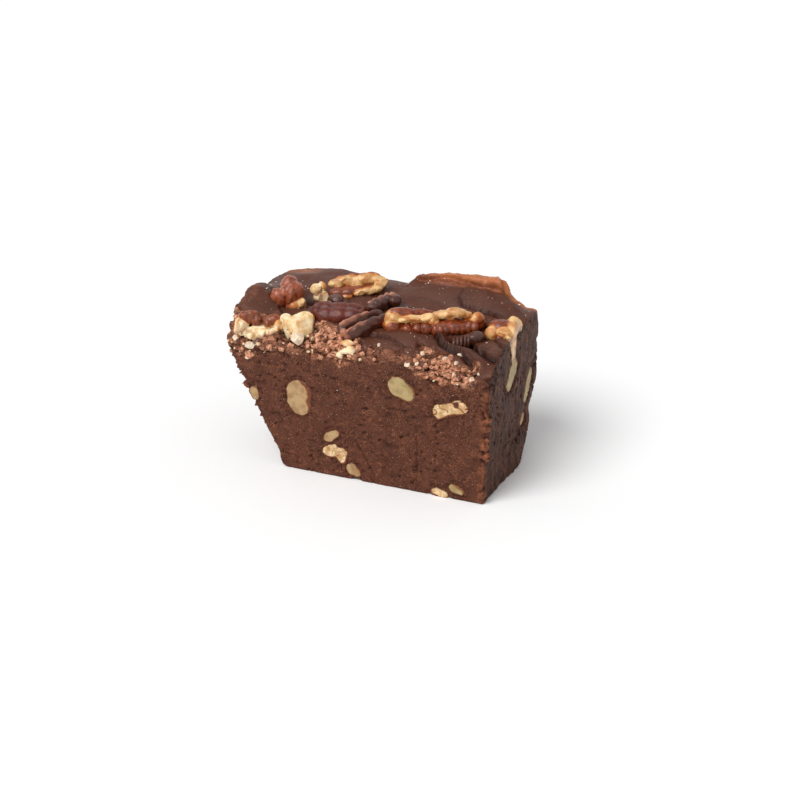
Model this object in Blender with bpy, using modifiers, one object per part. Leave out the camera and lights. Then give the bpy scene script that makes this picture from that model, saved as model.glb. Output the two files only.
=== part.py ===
"""A cut piece of chocolate fudge with pecans set in its top and showing in its cut faces.

Sizes are written in millimetres and turned into metres by MM.  X runs along the piece, Y from the
front cut face to the back wall, and Z up.  The front and the right side are knife cuts, the left
side and the back are walls that a tin formed, and the bottom is the flat face that it rests on.
"""
import math

import bmesh
import bpy
from mathutils import Matrix, Vector, noise

MM = 0.001

# ---------------------------------------------------------------- driving dimensions (mm)
FRONT_Y = -21.0            # plane of the front cut face
RIGHT_X_LOW = 38.8         # right cut face at the bottom
RIGHT_X_HIGH = 40.4        # right cut face at the height of the top
TOP_HEIGHT = 44.5          # the plateau's usual height
CORNER_RADIUS = 9.0        # rounded upright corner between the left and the back wall
CUT_LEAN = (RIGHT_X_HIGH - RIGHT_X_LOW) / TOP_HEIGHT
GAP = 0.36                 # space that a pocket leaves round its nut
SINK = 0.5                 # how deep the long axis of a cut nut lies behind the cut face
SIDE_CELLS = 22            # cells of the block's grid along X
FLARE = 2.5                # how far the right cut face turns outwards at the bottom of the back
FLARE_TOP = 11.0           # height where that turn ends

# Left wall: (height, x).  The foot is rounded and the wall leans out as the tin did.
LEFT_WALL = ((0.0, -22.6), (0.9, -24.2), (2.4, -24.8), (5.0, -25.0), (13.0, -29.8),
             (23.0, -33.9), (29.5, -37.4), (34.5, -40.7), (38.0, -41.6), (44.0, -41.6), (47.0, -41.2))
# Back wall: (height, y).
BACK_WALL = ((0.0, 7.0), (1.0, 8.6), (4.0, 13.0), (10.0, 17.8), (20.0, 20.8), (30.0, 22.6),
             (38.0, 22.9), (46.0, 20.6), (52.0, 21.0))
# Steps of the broken back wall next to the right cut face: (height, reach up and down, depth).
BACK_STEPS = ((14.8, 2.2, -2.5), (22.0, 4.5, 1.4), (34.0, 5.0, -1.7), (46.0, 5.0, -2.2))
STEP_REACH = 7.0           # how far along X from the right cut face those steps reach
WALL_WAVE = 0.5            # unevenness of the tin walls
BLOCK_DEPTH = 41.0         # usual depth of the block from the front cut to the back wall
# Top edge of the front cut face: (x, height).
FRONT_EDGE = ((-40.0, 34.6), (-31.7, 36.2), (-24.7, 38.3), (-10.9, 40.4), (-4.3, 39.2), (2.5, 40.1),
              (12.3, 41.0), (20.0, 38.5), (28.5, 37.7), (40.6, 37.9))
# Crown of the top along the back wall: (x, height).
BACK_EDGE = ((-41.0, 46.0), (-33.0, 47.0), (-22.0, 47.9), (-14.0, 47.4), (-6.0, 47.0), (1.0, 46.9),
             (8.0, 48.0), (16.0, 48.7), (26.0, 48.6), (31.5, 47.6), (35.0, 45.2), (40.6, 45.0))
# Soft swells and hollows of the poured top: (x, y, reach along x, reach along y, height).
TOP_SWELLS = ((-38.0, -4.0, 6.0, 7.0, 2.0),
              (-25.6, 0.5, 2.0, 4.0, -3.2),
              (-3.0, -13.0, 6.0, 3.5, -0.9),
              (29.0, -10.5, 5.5, 4.0, -2.4),
              (25.0, 8.0, 8.0, 6.0, 1.1),
              (10.0, 3.0, 10.0, 4.0, -0.8),
              (14.0, -16.5, 9.0, 3.0, 1.2))
# The thin lip that stands up along the back: from x, to x, height, thickness.
LIP = (0.5, 33.5, 3.5, 2.2)
LIP_BACK_Y = 20.4          # back of the lip
LIP_RUN = 3.0              # over which the lip rises at its ends
CROWN_START = -10.0        # y where the top starts to climb to its crown
CROWN_RUN = 30.0           # over which it climbs
SHOULDER_DEPTH = 9.0       # how far back the crumbled front shoulder reaches
SHOULDER_CRUMB = 0.75      # unevenness of that shoulder
SOFT_FOLD = 0.55           # unevenness of the poured top

# Heights of the block's rings, as shares of its height, close together at the rounded foot.
RINGS = (0.0, 0.02, 0.055, 0.12, 0.21, 0.31, 0.39, 0.47, 0.57, 0.67, 0.77, 0.87, 1.0)
# Depths of the block's rows, as shares of its depth, close together at the shoulder and the lip.
ROWS = (0.0, 0.04, 0.085, 0.14, 0.21, 0.30, 0.39, 0.48, 0.57, 0.66, 0.75, 0.83, 0.90, 0.95, 1.0)

LOBE_SEGMENTS = 16
LOBE_RINGS = 10
VOXEL = 0.42               # cell of the remesh that melts a nut's lobes together
TOPPING_FACES = 210        # triangles of one topping
INCLUSION_FACES = 70       # triangles of one nut in a cut face


# ---------------------------------------------------------------- small helpers
def clear_scene():
    """Remove what a new file starts with."""
    for item in list(bpy.data.objects):
        bpy.data.objects.remove(item, do_unlink=True)


def collection(name):
    """A new collection in the scene."""
    group = bpy.data.collections.new(name)
    bpy.context.scene.collection.children.link(group)
    return group


def material(name, colour, roughness):
    """A plain Principled material."""
    made = bpy.data.materials.new(name)
    made.use_nodes = True
    shader = made.node_tree.nodes["Principled BSDF"]
    shader.inputs["Base Color"].default_value = (*colour, 1.0)
    shader.inputs["Roughness"].default_value = roughness
    shader.inputs["Metallic"].default_value = 0.0
    made.diffuse_color = (*colour, 1.0)
    return made


def read_curve(points, at):
    """Value of a line drawn through a few (place, value) points."""
    if at <= points[0][0]:
        return points[0][1]
    for (x0, y0), (x1, y1) in zip(points, points[1:]):
        if at <= x1:
            share = (at - x0) / (x1 - x0)
            return y0 + (y1 - y0) * share
    return points[-1][1]


def smooth_step(share):
    """0 below 0, 1 above 1, and a soft rise between."""
    share = min(1.0, max(0.0, share))
    return share * share * (3.0 - 2.0 * share)


def swell(x, y, spec):
    """One soft swell or hollow of the top."""
    centre_x, centre_y, reach_x, reach_y, height = spec
    distance = ((x - centre_x) / reach_x) ** 2 + ((y - centre_y) / reach_y) ** 2
    return height * math.exp(-distance)


def object_from(bm, name, group, look=None):
    """Turn a bmesh into an object of a collection."""
    mesh = bpy.data.meshes.new(name)
    bm.to_mesh(mesh)
    bm.free()
    made = bpy.data.objects.new(name, mesh)
    group.objects.link(made)
    if look:
        mesh.materials.append(look)
    return made


def evaluated_mesh(item):
    """The mesh of an object with its modifiers applied."""
    bpy.context.view_layer.update()
    graph = bpy.context.evaluated_depsgraph_get()
    return bpy.data.meshes.new_from_object(item.evaluated_get(graph))


# ---------------------------------------------------------------- the block of fudge
def top_height(x, y):
    """Height of the top at a place: shoulder, plateau, crown at the back, lip and folds."""
    front = read_curve(FRONT_EDGE, x)
    back = read_curve(BACK_EDGE, x)
    depth = y - FRONT_Y
    crown = smooth_step((y - CROWN_START) / CROWN_RUN)
    plateau = TOP_HEIGHT + (back - TOP_HEIGHT) * crown
    plateau += sum(swell(x, y, spec) for spec in TOP_SWELLS)
    plateau += SOFT_FOLD * noise.noise(Vector((x * 0.11, y * 0.16, 3.0)))
    climb = min(1.0, depth / SHOULDER_DEPTH) ** 0.75
    height = front + (plateau - front) * climb
    crumb = 4.0 * climb * (1.0 - climb)
    height += SHOULDER_CRUMB * crumb * noise.noise(Vector((x * 0.35, y * 0.4, 8.0)))
    return height


def lip_height(x, y):
    """How far the thin lip stands above the top along the back wall."""
    start, end, tall, thick = LIP
    along = smooth_step((x - start) / LIP_RUN) * smooth_step((end - x) / LIP_RUN)
    across = smooth_step((y - (LIP_BACK_Y - 2.0 * thick)) / thick)
    return tall * along * across


def back_wall(x, z):
    """Y of the back wall, with the step that breaks it near the right cut face."""
    near_cut = math.exp(-((x - RIGHT_X_HIGH) / STEP_REACH) ** 2)
    step = sum(depth * math.exp(-((z - height) / reach) ** 2) for height, reach, depth in BACK_STEPS)
    wave = WALL_WAVE * noise.noise(Vector((x * 0.12, 0.0, z * 0.15)))
    return read_curve(BACK_WALL, z) + near_cut * step + wave


def left_wall(y, z):
    """X of the left wall."""
    wave = WALL_WAVE * noise.noise(Vector((9.0, y * 0.15, z * 0.15)))
    return read_curve(LEFT_WALL, z) + wave * smooth_step((y - FRONT_Y) / 6.0)


def right_wall(z):
    """X of the right cut face, which leans out a little towards the top."""
    return RIGHT_X_LOW + CUT_LEAN * z


def flare(y, z):
    """How far the foot of the right cut face turns outwards towards the back."""
    return FLARE * max(0.0, 1.0 - z / FLARE_TOP) * (y - FRONT_Y) / BLOCK_DEPTH


def round_corner(x, y, wall_x, wall_y):
    """Pull the square corner between the left and back walls onto an arc."""
    in_x = wall_x + CORNER_RADIUS - x
    in_y = y - (wall_y - CORNER_RADIUS)
    if in_x <= 0.0 or in_y <= 0.0:
        return x, y
    pull = max(in_x, in_y) / math.hypot(in_x, in_y)
    return wall_x + CORNER_RADIUS - in_x * pull, wall_y - CORNER_RADIUS + in_y * pull


def place_in_block(share_x, share_y, share_z):
    """Where a grid point of the unit cube lies in the block."""
    z = TOP_HEIGHT
    for _ in range(3):
        wall_x = left_wall(FRONT_Y + share_y * BLOCK_DEPTH, z)
        x = wall_x + (right_wall(z) - wall_x) * share_x
        wall_y = back_wall(x, z)
        y = FRONT_Y + (wall_y - FRONT_Y) * share_y
        x, y = round_corner(x, y, wall_x, wall_y)
        z = share_z * top_height(x, y) + smooth_step((share_z - 0.8) / 0.2) * lip_height(x, y)
    wall_x = left_wall(y, z)
    x = wall_x + (right_wall(z) - wall_x) * share_x
    wall_y = back_wall(x, z)
    y = FRONT_Y + (wall_y - FRONT_Y) * share_y
    x, y = round_corner(x, y, wall_x, wall_y)
    if share_x >= 1.0:
        x = right_wall(z) + flare(y, z)
    return Vector((x, y, z)) * MM


def flatten_cuts(bm):
    """Merge the grid of the three flat faces: bottom, front cut and right cut."""
    lean = math.atan(CUT_LEAN)
    flats = (Vector((0, 0, -1)), Vector((0, -1, 0)), Vector((math.cos(lean), 0, -math.sin(lean))))
    for normal in flats:
        faces = [face for face in bm.faces if face.normal.dot(normal) > 0.99999]
        bmesh.ops.dissolve_faces(bm, faces=faces)


def block(group, look):
    """The fudge: a cube cut into a grid and laid into the walls, the cuts and the top."""
    bm = bmesh.new()
    bmesh.ops.create_cube(bm, size=1.0)
    bmesh.ops.translate(bm, verts=bm.verts, vec=(0.5, 0.5, 0.5))
    columns = [cell / SIDE_CELLS for cell in range(1, SIDE_CELLS)]
    for shares, normal in ((columns, (1, 0, 0)), (ROWS[1:-1], (0, 1, 0)), (RINGS[1:-1], (0, 0, 1))):
        for share in shares:
            everything = bm.verts[:] + bm.edges[:] + bm.faces[:]
            bmesh.ops.bisect_plane(bm, geom=everything, plane_co=Vector(normal) * share, plane_no=normal)
    for vert in bm.verts:
        vert.co = place_in_block(*vert.co)
    bm.normal_update()
    flatten_cuts(bm)
    return object_from(bm, "fudge_block", group, look)


# ---------------------------------------------------------------- nuts
def lobe(bm, centre, radii, turn=0.0):
    """One rounded lobe of a nut: a sphere, stretched, turned about Z and placed."""
    matrix = (Matrix.Translation(Vector(centre) * MM) @ Matrix.Rotation(math.radians(turn), 4, "Z")
              @ Matrix.Diagonal((*(Vector(radii) * MM), 1.0)))
    bmesh.ops.create_uvsphere(bm, u_segments=LOBE_SEGMENTS, v_segments=LOBE_RINGS, radius=1.0, matrix=matrix)


def frame_between(start, end, roll):
    """A frame at the middle of a nut: X from its start to its end, Z up, then rolled about X."""
    start = Vector(start)
    end = Vector(end)
    along = (end - start).normalized()
    side = Vector((0, 0, 1)).cross(along).normalized()
    up = along.cross(side)
    turned = Matrix((along, side, up)).transposed().to_4x4()
    place = Matrix.Translation((start + end) * 0.5 * MM)
    return place @ turned @ Matrix.Rotation(math.radians(roll), 4, "X")


def melt(lobes, name, group, faces):
    """Melt overlapping lobes into one skin and thin it to a number of triangles."""
    bm = bmesh.new()
    for spec in lobes:
        lobe(bm, *spec)
    draft = object_from(bm, name, group)
    remesh = draft.modifiers.new("melt", "REMESH")
    remesh.mode = "VOXEL"
    remesh.voxel_size = VOXEL * MM
    smooth = draft.modifiers.new("soften", "SMOOTH")
    smooth.factor = 0.5
    smooth.iterations = 4
    thin = draft.modifiers.new("thin", "DECIMATE")
    full = sum(len(face.vertices) - 2 for face in evaluated_mesh(draft).polygons)
    thin.ratio = min(1.0, faces / full)
    mesh = evaluated_mesh(draft)
    bpy.data.objects.remove(draft, do_unlink=True)
    return mesh


def cut_flat(bm, point, normal):
    """Cut a solid by a plane, keep what lies behind it and close the cut."""
    everything = bm.verts[:] + bm.edges[:] + bm.faces[:]
    cut = bmesh.ops.bisect_plane(bm, geom=everything, plane_co=point, plane_no=normal,
                                 dist=0.02 * MM, clear_outer=True)
    rim = [item for item in cut["geom_cut"] if isinstance(item, bmesh.types.BMEdge) and item.is_boundary]
    bmesh.ops.holes_fill(bm, edges=rim)


def nut(name, group, look, ends, lobes, breaks=(), roll=0.0, faces=TOPPING_FACES):
    """A nut between two end points, made of lobes, with its flat breaks given in the world's frame."""
    mesh = melt(lobes, name, group, faces)
    place = frame_between(*ends, roll)
    bm = bmesh.new()
    bm.from_mesh(mesh)
    bpy.data.meshes.remove(mesh)
    back = place.inverted()
    for point, normal in breaks:
        local_normal = back.to_3x3() @ Vector(normal)
        cut_flat(bm, back @ (Vector(point) * MM), local_normal.normalized())
    bmesh.ops.triangulate(bm, faces=bm.faces)
    bmesh.ops.recalc_face_normals(bm, faces=bm.faces)
    made = object_from(bm, name, group, look)
    made.matrix_world = place
    return made


def pocket(item, host, group):
    """Cut the room for a nut, with a small gap all round, out of its host."""
    bm = bmesh.new()
    bm.from_mesh(item.data)
    bm.normal_update()
    for vert in bm.verts:
        vert.co += vert.normal * GAP * MM
    cutter = object_from(bm, item.name + "_room", group)
    cutter.matrix_world = item.matrix_world.copy()
    cutter.hide_render = True
    cutter.display_type = "WIRE"
    cut = host.modifiers.new(item.name + "_room", "BOOLEAN")
    cut.operation = "DIFFERENCE"
    cut.object = cutter


def chain(start, end, count, middle, tip, wave=0.0):
    """Lobes in a row: from start to end, full in the middle and smaller at both tips."""
    made = []
    for step in range(count):
        share = step / (count - 1)
        swell_share = math.sin(math.pi * (0.12 + 0.76 * share))
        centre = Vector(start).lerp(Vector(end), share)
        centre.z += wave * math.sin(step * 2.1)
        radii = Vector(tip).lerp(Vector(middle), swell_share)
        made.append((tuple(centre), tuple(radii)))
    return made


def toppings(group, looks):
    """The pecans set in the top."""
    skin, pale, dark = looks["pecan_skin"], looks["pecan_meat"], looks["coated_nut"]
    camera_side = (0.38, -0.92, 0.1)
    made = []

    def add(name, look, *rest, **options):
        made.append(nut(name, group, look, *rest, **options))

    add("pecan_long", skin, ((4.7, -11.7, 46.9), (31.0, -0.5, 46.9)),
        chain((-11.8, -1.2, -1.1), (11.6, -0.7, -1.3), 7, (3.0, 2.7, 2.9), (2.4, 2.0, 2.1), 0.2)
        + chain((-11.4, 0.9, 2.1), (8.4, 1.2, 2.0), 6, (3.0, 2.2, 1.9), (2.2, 1.7, 1.6), 0.3)
        + [((-12.2, 0.2, 0.6), (2.2, 2.6, 3.0)), ((11.8, 0.2, -0.2), (2.7, 2.5, 2.3))])
    add("pecan_back", pale, ((-19.0, 4.4, 48.5), (-3.6, 11.8, 49.3)),
        chain((-6.6, 1.7, 1.0), (6.8, 1.5, 1.2), 5, (2.8, 2.2, 2.1), (2.2, 1.9, 1.8), 0.25)
        + chain((-6.4, -2.0, -0.6), (5.8, -2.1, -0.5), 5, (2.7, 1.9, 1.9), (2.1, 1.6, 1.5), 0.15)
        + [((6.2, -0.2, 0.2), (2.4, 2.4, 2.0)), ((-1.0, -0.3, -0.9), (6.0, 1.9, 1.5))])
    add("pecan_chunk", skin, ((-32.0, -5.6, 47.4), (-24.8, -2.2, 46.2)),
        [((0.2, 0.0, 0.0), (4.3, 4.1, 4.0)), ((-1.0, 2.2, 3.0), (3.0, 3.0, 2.9)),
         ((2.9, -1.8, -1.9), (2.8, 2.6, 2.6)), ((-3.4, 1.0, -0.8), (2.5, 2.6, 2.4))],
        breaks=(((-24.9, -7.0, 44.8), (0.72, -0.62, -0.32)),))
    add("pecan_bit", pale, ((-23.4, 0.2, 48.0), (-19.0, 1.6, 46.0)),
        [((-1.3, 0.3, 0.9), (2.2, 1.9, 1.9)), ((1.2, -0.3, -0.6), (2.3, 2.0, 2.0)),
         ((0.2, 0.8, -1.2), (2.0, 1.8, 1.7))],
        breaks=(((-21.0, -1.2, 46.6), camera_side),), faces=150)
    add("coated_bit", dark, ((-17.5, -1.4, 46.5), (-12.0, 0.2, 45.3)),
        [((-0.9, 0.0, 0.3), (2.5, 2.1, 2.0)), ((1.9, 0.1, -0.3), (2.1, 1.9, 1.7))], faces=120)
    add("pecan_stained", skin, ((-18.4, -9.2, 45.5), (-4.0, -5.8, 45.5)),
        chain((-5.2, 1.5, 0.0), (5.2, 1.4, 0.0), 5, (3.0, 2.8, 3.1), (2.3, 2.1, 2.2))
        + chain((-5.0, -1.6, -0.2), (5.0, -1.6, -0.2), 5, (3.0, 2.7, 2.9), (2.2, 2.0, 2.1)))
    add("coated_half", dark, ((-5.0, -17.6, 43.7), (3.2, -5.0, 45.8)),
        chain((-5.8, 1.8, 0.4), (5.6, 1.6, 0.3), 5, (2.6, 1.7, 2.5), (2.0, 1.4, 2.0))
        + chain((-5.8, -1.8, 0.0), (5.6, -1.6, 0.0), 5, (2.6, 1.7, 2.4), (2.0, 1.4, 2.0))
        + [((0.0, 0.0, -0.9), (6.8, 2.2, 1.7))])
    add("coated_ridge", dark, ((-2.6, -4.2, 46.9), (1.4, 5.6, 47.4)),
        chain((-4.4, 0.3, 0.0), (4.2, 0.0, 0.2), 4, (2.4, 2.3, 2.2), (1.9, 1.7, 1.7), 0.3)
        + [((2.6, -1.7, 0.2), (1.9, 1.4, 1.5))], faces=160)
    add("pecan_corner", skin, ((32.3, -2.6, 44.5), (39.6, -0.4, 44.8)),
        [((-1.2, 0.0, 0.2), (3.4, 4.2, 3.1)), ((2.4, -0.4, 0.3), (3.2, 4.0, 3.2)),
         ((2.7, 4.6, 0.2), (2.6, 3.7, 2.9)), ((2.9, -1.2, -3.0), (2.5, 3.0, 3.2)),
         ((3.2, -0.9, -5.9), (2.1, 1.9, 2.6))],
        breaks=(((RIGHT_X_LOW + 0.05, 0.0, 0.0), (1.0, 0.0, -CUT_LEAN)),))
    add("pecan_craggy", pale, ((-39.0, -18.8, 41.2), (-25.2, -15.8, 41.8)),
        [((-4.9, 0.6, 1.1), (2.6, 3.0, 2.4)), ((-2.4, 0.4, -1.4), (2.2, 2.8, 3.4)),
         ((0.4, 0.8, 0.2), (2.6, 3.0, 2.8)), ((2.6, 0.4, -1.6), (2.2, 2.8, 3.6)),
         ((5.0, 0.8, -1.4), (2.3, 2.8, 4.2)), ((-2.6, 2.2, 2.6), (2.4, 2.6, 2.5)),
         ((2.8, 2.2, 2.4), (2.4, 2.6, 2.5))],
        breaks=(((-31.0, -20.0, 40.0), (0.15, -0.93, 0.33)),), faces=290)
    add("pecan_wedge", pale, ((-24.5, -17.2, 42.8), (-16.0, -14.6, 42.8)),
        [((-1.8, 0.4, 1.0), (3.1, 3.0, 3.5)), ((1.6, 0.6, 0.4), (3.3, 3.0, 4.0)),
         ((2.4, -0.4, -2.4), (1.9, 2.4, 2.4)), ((-2.6, 0.4, -1.4), (2.3, 2.4, 2.2))],
        breaks=(((-19.2, -18.1, 42.0), (0.30, -0.90, 0.30)), ((-19.0, -14.0, 46.8), (-0.1, -0.1, 1.0)),
                ((-15.4, -17.5, 43.0), (0.97, -0.2, -0.12))), faces=190)
    add("pecan_knuckle", pale, ((-5.5, -20.9, 39.0), (-1.4, -20.3, 41.6)),
        [((-1.8, 0.0, -0.3), (1.6, 1.3, 1.3)), ((0.6, 0.0, 0.2), (1.8, 1.5, 1.5)),
         ((2.4, 0.0, -0.7), (1.4, 1.3, 1.3)), ((1.0, 0.2, 1.7), (1.3, 1.4, 1.3))], faces=140)
    add("coated_ridged", dark, ((24.4, -10.6, 44.2), (32.6, -6.8, 44.6)),
        chain((-3.2, 0.0, 0.0), (3.4, 0.0, 0.0), 5, (1.7, 2.7, 2.5), (1.4, 2.2, 2.0), 0.1), faces=180)
    return made


def inclusions(group, looks):
    """The nuts that the knife cut through: flush with the front and the right cut faces."""
    pale, green = looks["pecan_meat"], looks["green_meat"]
    front_plane = ((0.0, FRONT_Y, 0.0), (0.0, -1.0, 0.0))
    right_plane = ((RIGHT_X_LOW, 0.0, 0.0), (1.0, 0.0, -CUT_LEAN))
    floor_plane = ((0.0, 0.0, 0.0), (0.0, 0.0, -1.0))
    # Name, look, start and end of the long axis in the face (across, height), half width, and
    # further bumps: (place along the half length, place across, radius).
    in_front = (("inset_oval", pale, (-18.4, 28.6), (-17.5, 18.0), 4.0, ((0.2, -1.6, 2.6),)),
                ("inset_green", green, (10.4, 33.8), (17.6, 29.2), 2.9, ()),
                ("inset_cracked", pale, (23.4, 26.5), (33.8, 29.2), 2.1, ((0.5, 0.7, 2.2), (-0.7, -1.2, 1.5))),
                ("inset_leaf", pale, (-10.2, 11.4), (-5.5, 14.6), 1.4, ()),
                ("inset_cluster", pale, (-11.0, 7.6), (-3.0, 8.4), 1.7,
                 ((-0.1, 0.8, 1.6), (0.5, -1.5, 1.8), (0.55, -2.7, 1.2))),
                ("inset_drop", pale, (-3.0, 4.4), (1.0, 1.6), 1.7, ()),
                ("inset_foot", pale, (22.9, 1.3), (28.1, 0.7), 1.4, ()),
                ("inset_seed", pale, (28.6, 3.9), (33.0, 2.4), 1.2, ()),
                ("inset_edge", pale, (-33.2, 24.2), (-31.8, 20.4), 1.4, ()))
    in_right = (("inset_side_long", green, (1.8, 35.4), (-3.6, 29.0), 2.5, ()),
                ("inset_side_back", green, (17.2, 26.6), (13.2, 17.6), 1.8, ()),
                ("inset_side_low", pale, (13.2, 13.9), (10.4, 10.9), 1.6, ()))
    made = []
    for name, look, start, end, half_width, bumps in in_front:
        ends = [(across, FRONT_Y + SINK, height) for across, height in (start, end)]
        flats = (front_plane, floor_plane)
        made.append(inclusion(name, group, look, ends, half_width, bumps, flats))
    for name, look, start, end, half_width, bumps in in_right:
        ends = [(right_wall(height) - SINK, across, height) for across, height in (start, end)]
        made.append(inclusion(name, group, look, ends, half_width, bumps, (right_plane,)))
    return made


def inclusion(name, group, look, ends, half_width, bumps, flats):
    """A nut in a cut face: a thick and a thinner lobe on its long axis, cut off by the face."""
    half = (Vector(ends[1]) - Vector(ends[0])).length * 0.5
    thin = half_width * 0.86
    lobes = [((-half * 0.28, 0.0, 0.0), (half * 0.76, half_width, half_width)),
             ((half * 0.34, 0.0, 0.0), (half * 0.70, thin, thin))]
    for along, across, radius in bumps:
        lobes.append(((half * along, 0.0, across), (radius, radius, radius)))
    return nut(name, group, look, ends, lobes, breaks=flats, faces=INCLUSION_FACES)


def centre_on_floor(group, cutters):
    """Bring everything to the middle of its box, on the floor, by one parent for all."""
    bpy.context.view_layer.update()
    graph = bpy.context.evaluated_depsgraph_get()
    corners = []
    for item in group.objects:
        solid = item.evaluated_get(graph)
        corners += [solid.matrix_world @ vert.co for vert in solid.data.vertices]
    low = [min(corner[axis] for corner in corners) for axis in range(3)]
    high = [max(corner[axis] for corner in corners) for axis in range(3)]
    base = bpy.data.objects.new("base", None)
    group.objects.link(base)
    for item in list(group.objects) + list(cutters.objects):
        if item is not base:
            item.parent = base
    base.location = (-(low[0] + high[0]) / 2, -(low[1] + high[1]) / 2, -low[2])


def main():
    clear_scene()
    parts = collection("chocolate_fudge")
    cutters = collection("cutters")
    looks = {
        "fudge": material("fudge", (0.085, 0.040, 0.028), 0.62),
        "pecan_skin": material("pecan_skin", (0.24, 0.080, 0.036), 0.45),
        "pecan_meat": material("pecan_meat", (0.74, 0.55, 0.32), 0.55),
        "green_meat": material("green_meat", (0.58, 0.50, 0.27), 0.50),
        "coated_nut": material("coated_nut", (0.095, 0.035, 0.026), 0.42),
    }
    fudge = block(parts, looks["fudge"])
    nuts = toppings(parts, looks) + inclusions(parts, looks)
    for item in nuts:
        pocket(item, fudge, cutters)
    centre_on_floor(parts, cutters)


main()
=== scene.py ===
# %% [markdown]
# # A cut piece of chocolate fudge with pecans
# The real thing is poured hot into a loaf tin over and under pecans, cools, and is cut with a knife.
# So it has four kinds of surface: two flat cut faces with pores, sugar grains and sliced nuts, walls
# that the tin shaped, a satin top with soft folds and a thin lip, and a crumbled edge where the top
# broke away above the front cut.  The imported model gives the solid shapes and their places.  This
# script gives each of them its true surface and finish.

# %% Load the frame
import math

import bmesh
import bpy
import numpy as np
from mathutils import Matrix, Vector
from mathutils.bvhtree import BVHTree
from mathutils.kdtree import KDTree


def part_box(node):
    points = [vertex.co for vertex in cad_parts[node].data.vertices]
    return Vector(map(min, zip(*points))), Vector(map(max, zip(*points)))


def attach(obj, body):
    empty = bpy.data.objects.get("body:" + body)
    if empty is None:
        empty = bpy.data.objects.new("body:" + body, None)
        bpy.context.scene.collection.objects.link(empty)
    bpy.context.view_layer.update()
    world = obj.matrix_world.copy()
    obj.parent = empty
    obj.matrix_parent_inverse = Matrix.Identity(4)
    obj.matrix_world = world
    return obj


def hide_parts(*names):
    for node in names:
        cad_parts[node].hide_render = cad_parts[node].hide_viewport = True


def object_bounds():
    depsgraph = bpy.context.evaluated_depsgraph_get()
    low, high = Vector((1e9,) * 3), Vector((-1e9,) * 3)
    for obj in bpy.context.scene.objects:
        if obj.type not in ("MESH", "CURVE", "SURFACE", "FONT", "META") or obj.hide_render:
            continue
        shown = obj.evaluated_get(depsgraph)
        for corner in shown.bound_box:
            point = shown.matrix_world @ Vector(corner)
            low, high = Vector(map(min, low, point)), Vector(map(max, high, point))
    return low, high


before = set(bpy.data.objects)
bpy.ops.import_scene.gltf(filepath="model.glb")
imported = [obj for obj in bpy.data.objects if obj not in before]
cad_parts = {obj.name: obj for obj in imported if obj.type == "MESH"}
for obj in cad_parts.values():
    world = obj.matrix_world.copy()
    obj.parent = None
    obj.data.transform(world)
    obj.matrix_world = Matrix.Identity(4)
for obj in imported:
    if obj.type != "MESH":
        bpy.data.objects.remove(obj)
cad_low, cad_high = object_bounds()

MM = 0.001
print("frame box in mm:", [round(side / MM, 1) for side in cad_high - cad_low])

# %% [markdown]
# ## Camera, floor and light
# A long lens from above and a little to the right shows the front cut, the right cut and the top.
# The light is one wide soft source from the front left, as from a big window, with an even pale
# surround.  The white floor throws much light back at the cut faces.  The floor is matt and nearly
# white, and it keeps the soft shadow under the piece.

# %% Camera
CAMERA_TURN = math.radians(22.5)
CAMERA_CLIMB = math.radians(25.0)
CAMERA_LENS = 75.0
CAMERA_AWAY = 493.3 * MM
AIM_SHARE = 0.337                 # the height that the camera aims at, as a share of the piece's height
AIM_ASIDE = Vector((5.5, -0.6, 0.0)) * MM

middle = (cad_low + cad_high) / 2
aim = Vector((middle.x, middle.y, cad_low.z + AIM_SHARE * (cad_high.z - cad_low.z))) + AIM_ASIDE
flat_reach = math.cos(CAMERA_CLIMB)
backwards = Vector((math.sin(CAMERA_TURN) * flat_reach, -math.cos(CAMERA_TURN) * flat_reach,
                    math.sin(CAMERA_CLIMB)))
camera = bpy.data.objects.new("camera", bpy.data.cameras.new("camera"))
bpy.context.scene.collection.objects.link(camera)
camera.data.lens = CAMERA_LENS
camera.data.clip_start = 0.01
camera.location = aim + backwards * CAMERA_AWAY
camera.rotation_mode = "QUATERNION"
camera.rotation_quaternion = (-backwards).to_track_quat("-Z", "Y")
bpy.context.scene.camera = camera
bpy.context.scene.view_settings.view_transform = "Standard"
print("camera stands", round(camera.location.length / MM), "mm from the origin")

# %% [markdown]
# ## Writing shader maths as Python
# A shader tree is easier to read as expressions.  `Value` wraps one output socket, and `+`, `-` and
# `*` on it add Math nodes.  `Finish` builds one material, and its method `node` adds any other node
# from its type, its settings and the values or links of its sockets.


# %% Value and Finish
class Value:
    """A shader socket that takes part in Python arithmetic."""

    def __init__(self, finish, socket):
        self.finish = finish
        self.socket = socket

    def maths(self, operation, first, second=0.0, clamp=False):
        settings = {"operation": operation, "use_clamp": clamp}
        return self.finish.node("ShaderNodeMath", settings, {0: first, 1: second})

    def __add__(self, other):
        return self.maths("ADD", self, other)

    def __radd__(self, other):
        return self.maths("ADD", other, self)

    def __sub__(self, other):
        return self.maths("SUBTRACT", self, other)

    def __rsub__(self, other):
        return self.maths("SUBTRACT", other, self)

    def __mul__(self, other):
        return self.maths("MULTIPLY", self, other)

    def within(self):
        """The value kept between 0 and 1."""
        return self.maths("ADD", self, 0.0, clamp=True)

    def ramp(self, low, high):
        """0 at low, 1 at high, soft between."""
        return self.finish.node("ShaderNodeMapRange", {"interpolation_type": "SMOOTHSTEP"},
                                {"Value": self, "From Min": low, "From Max": high})


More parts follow.
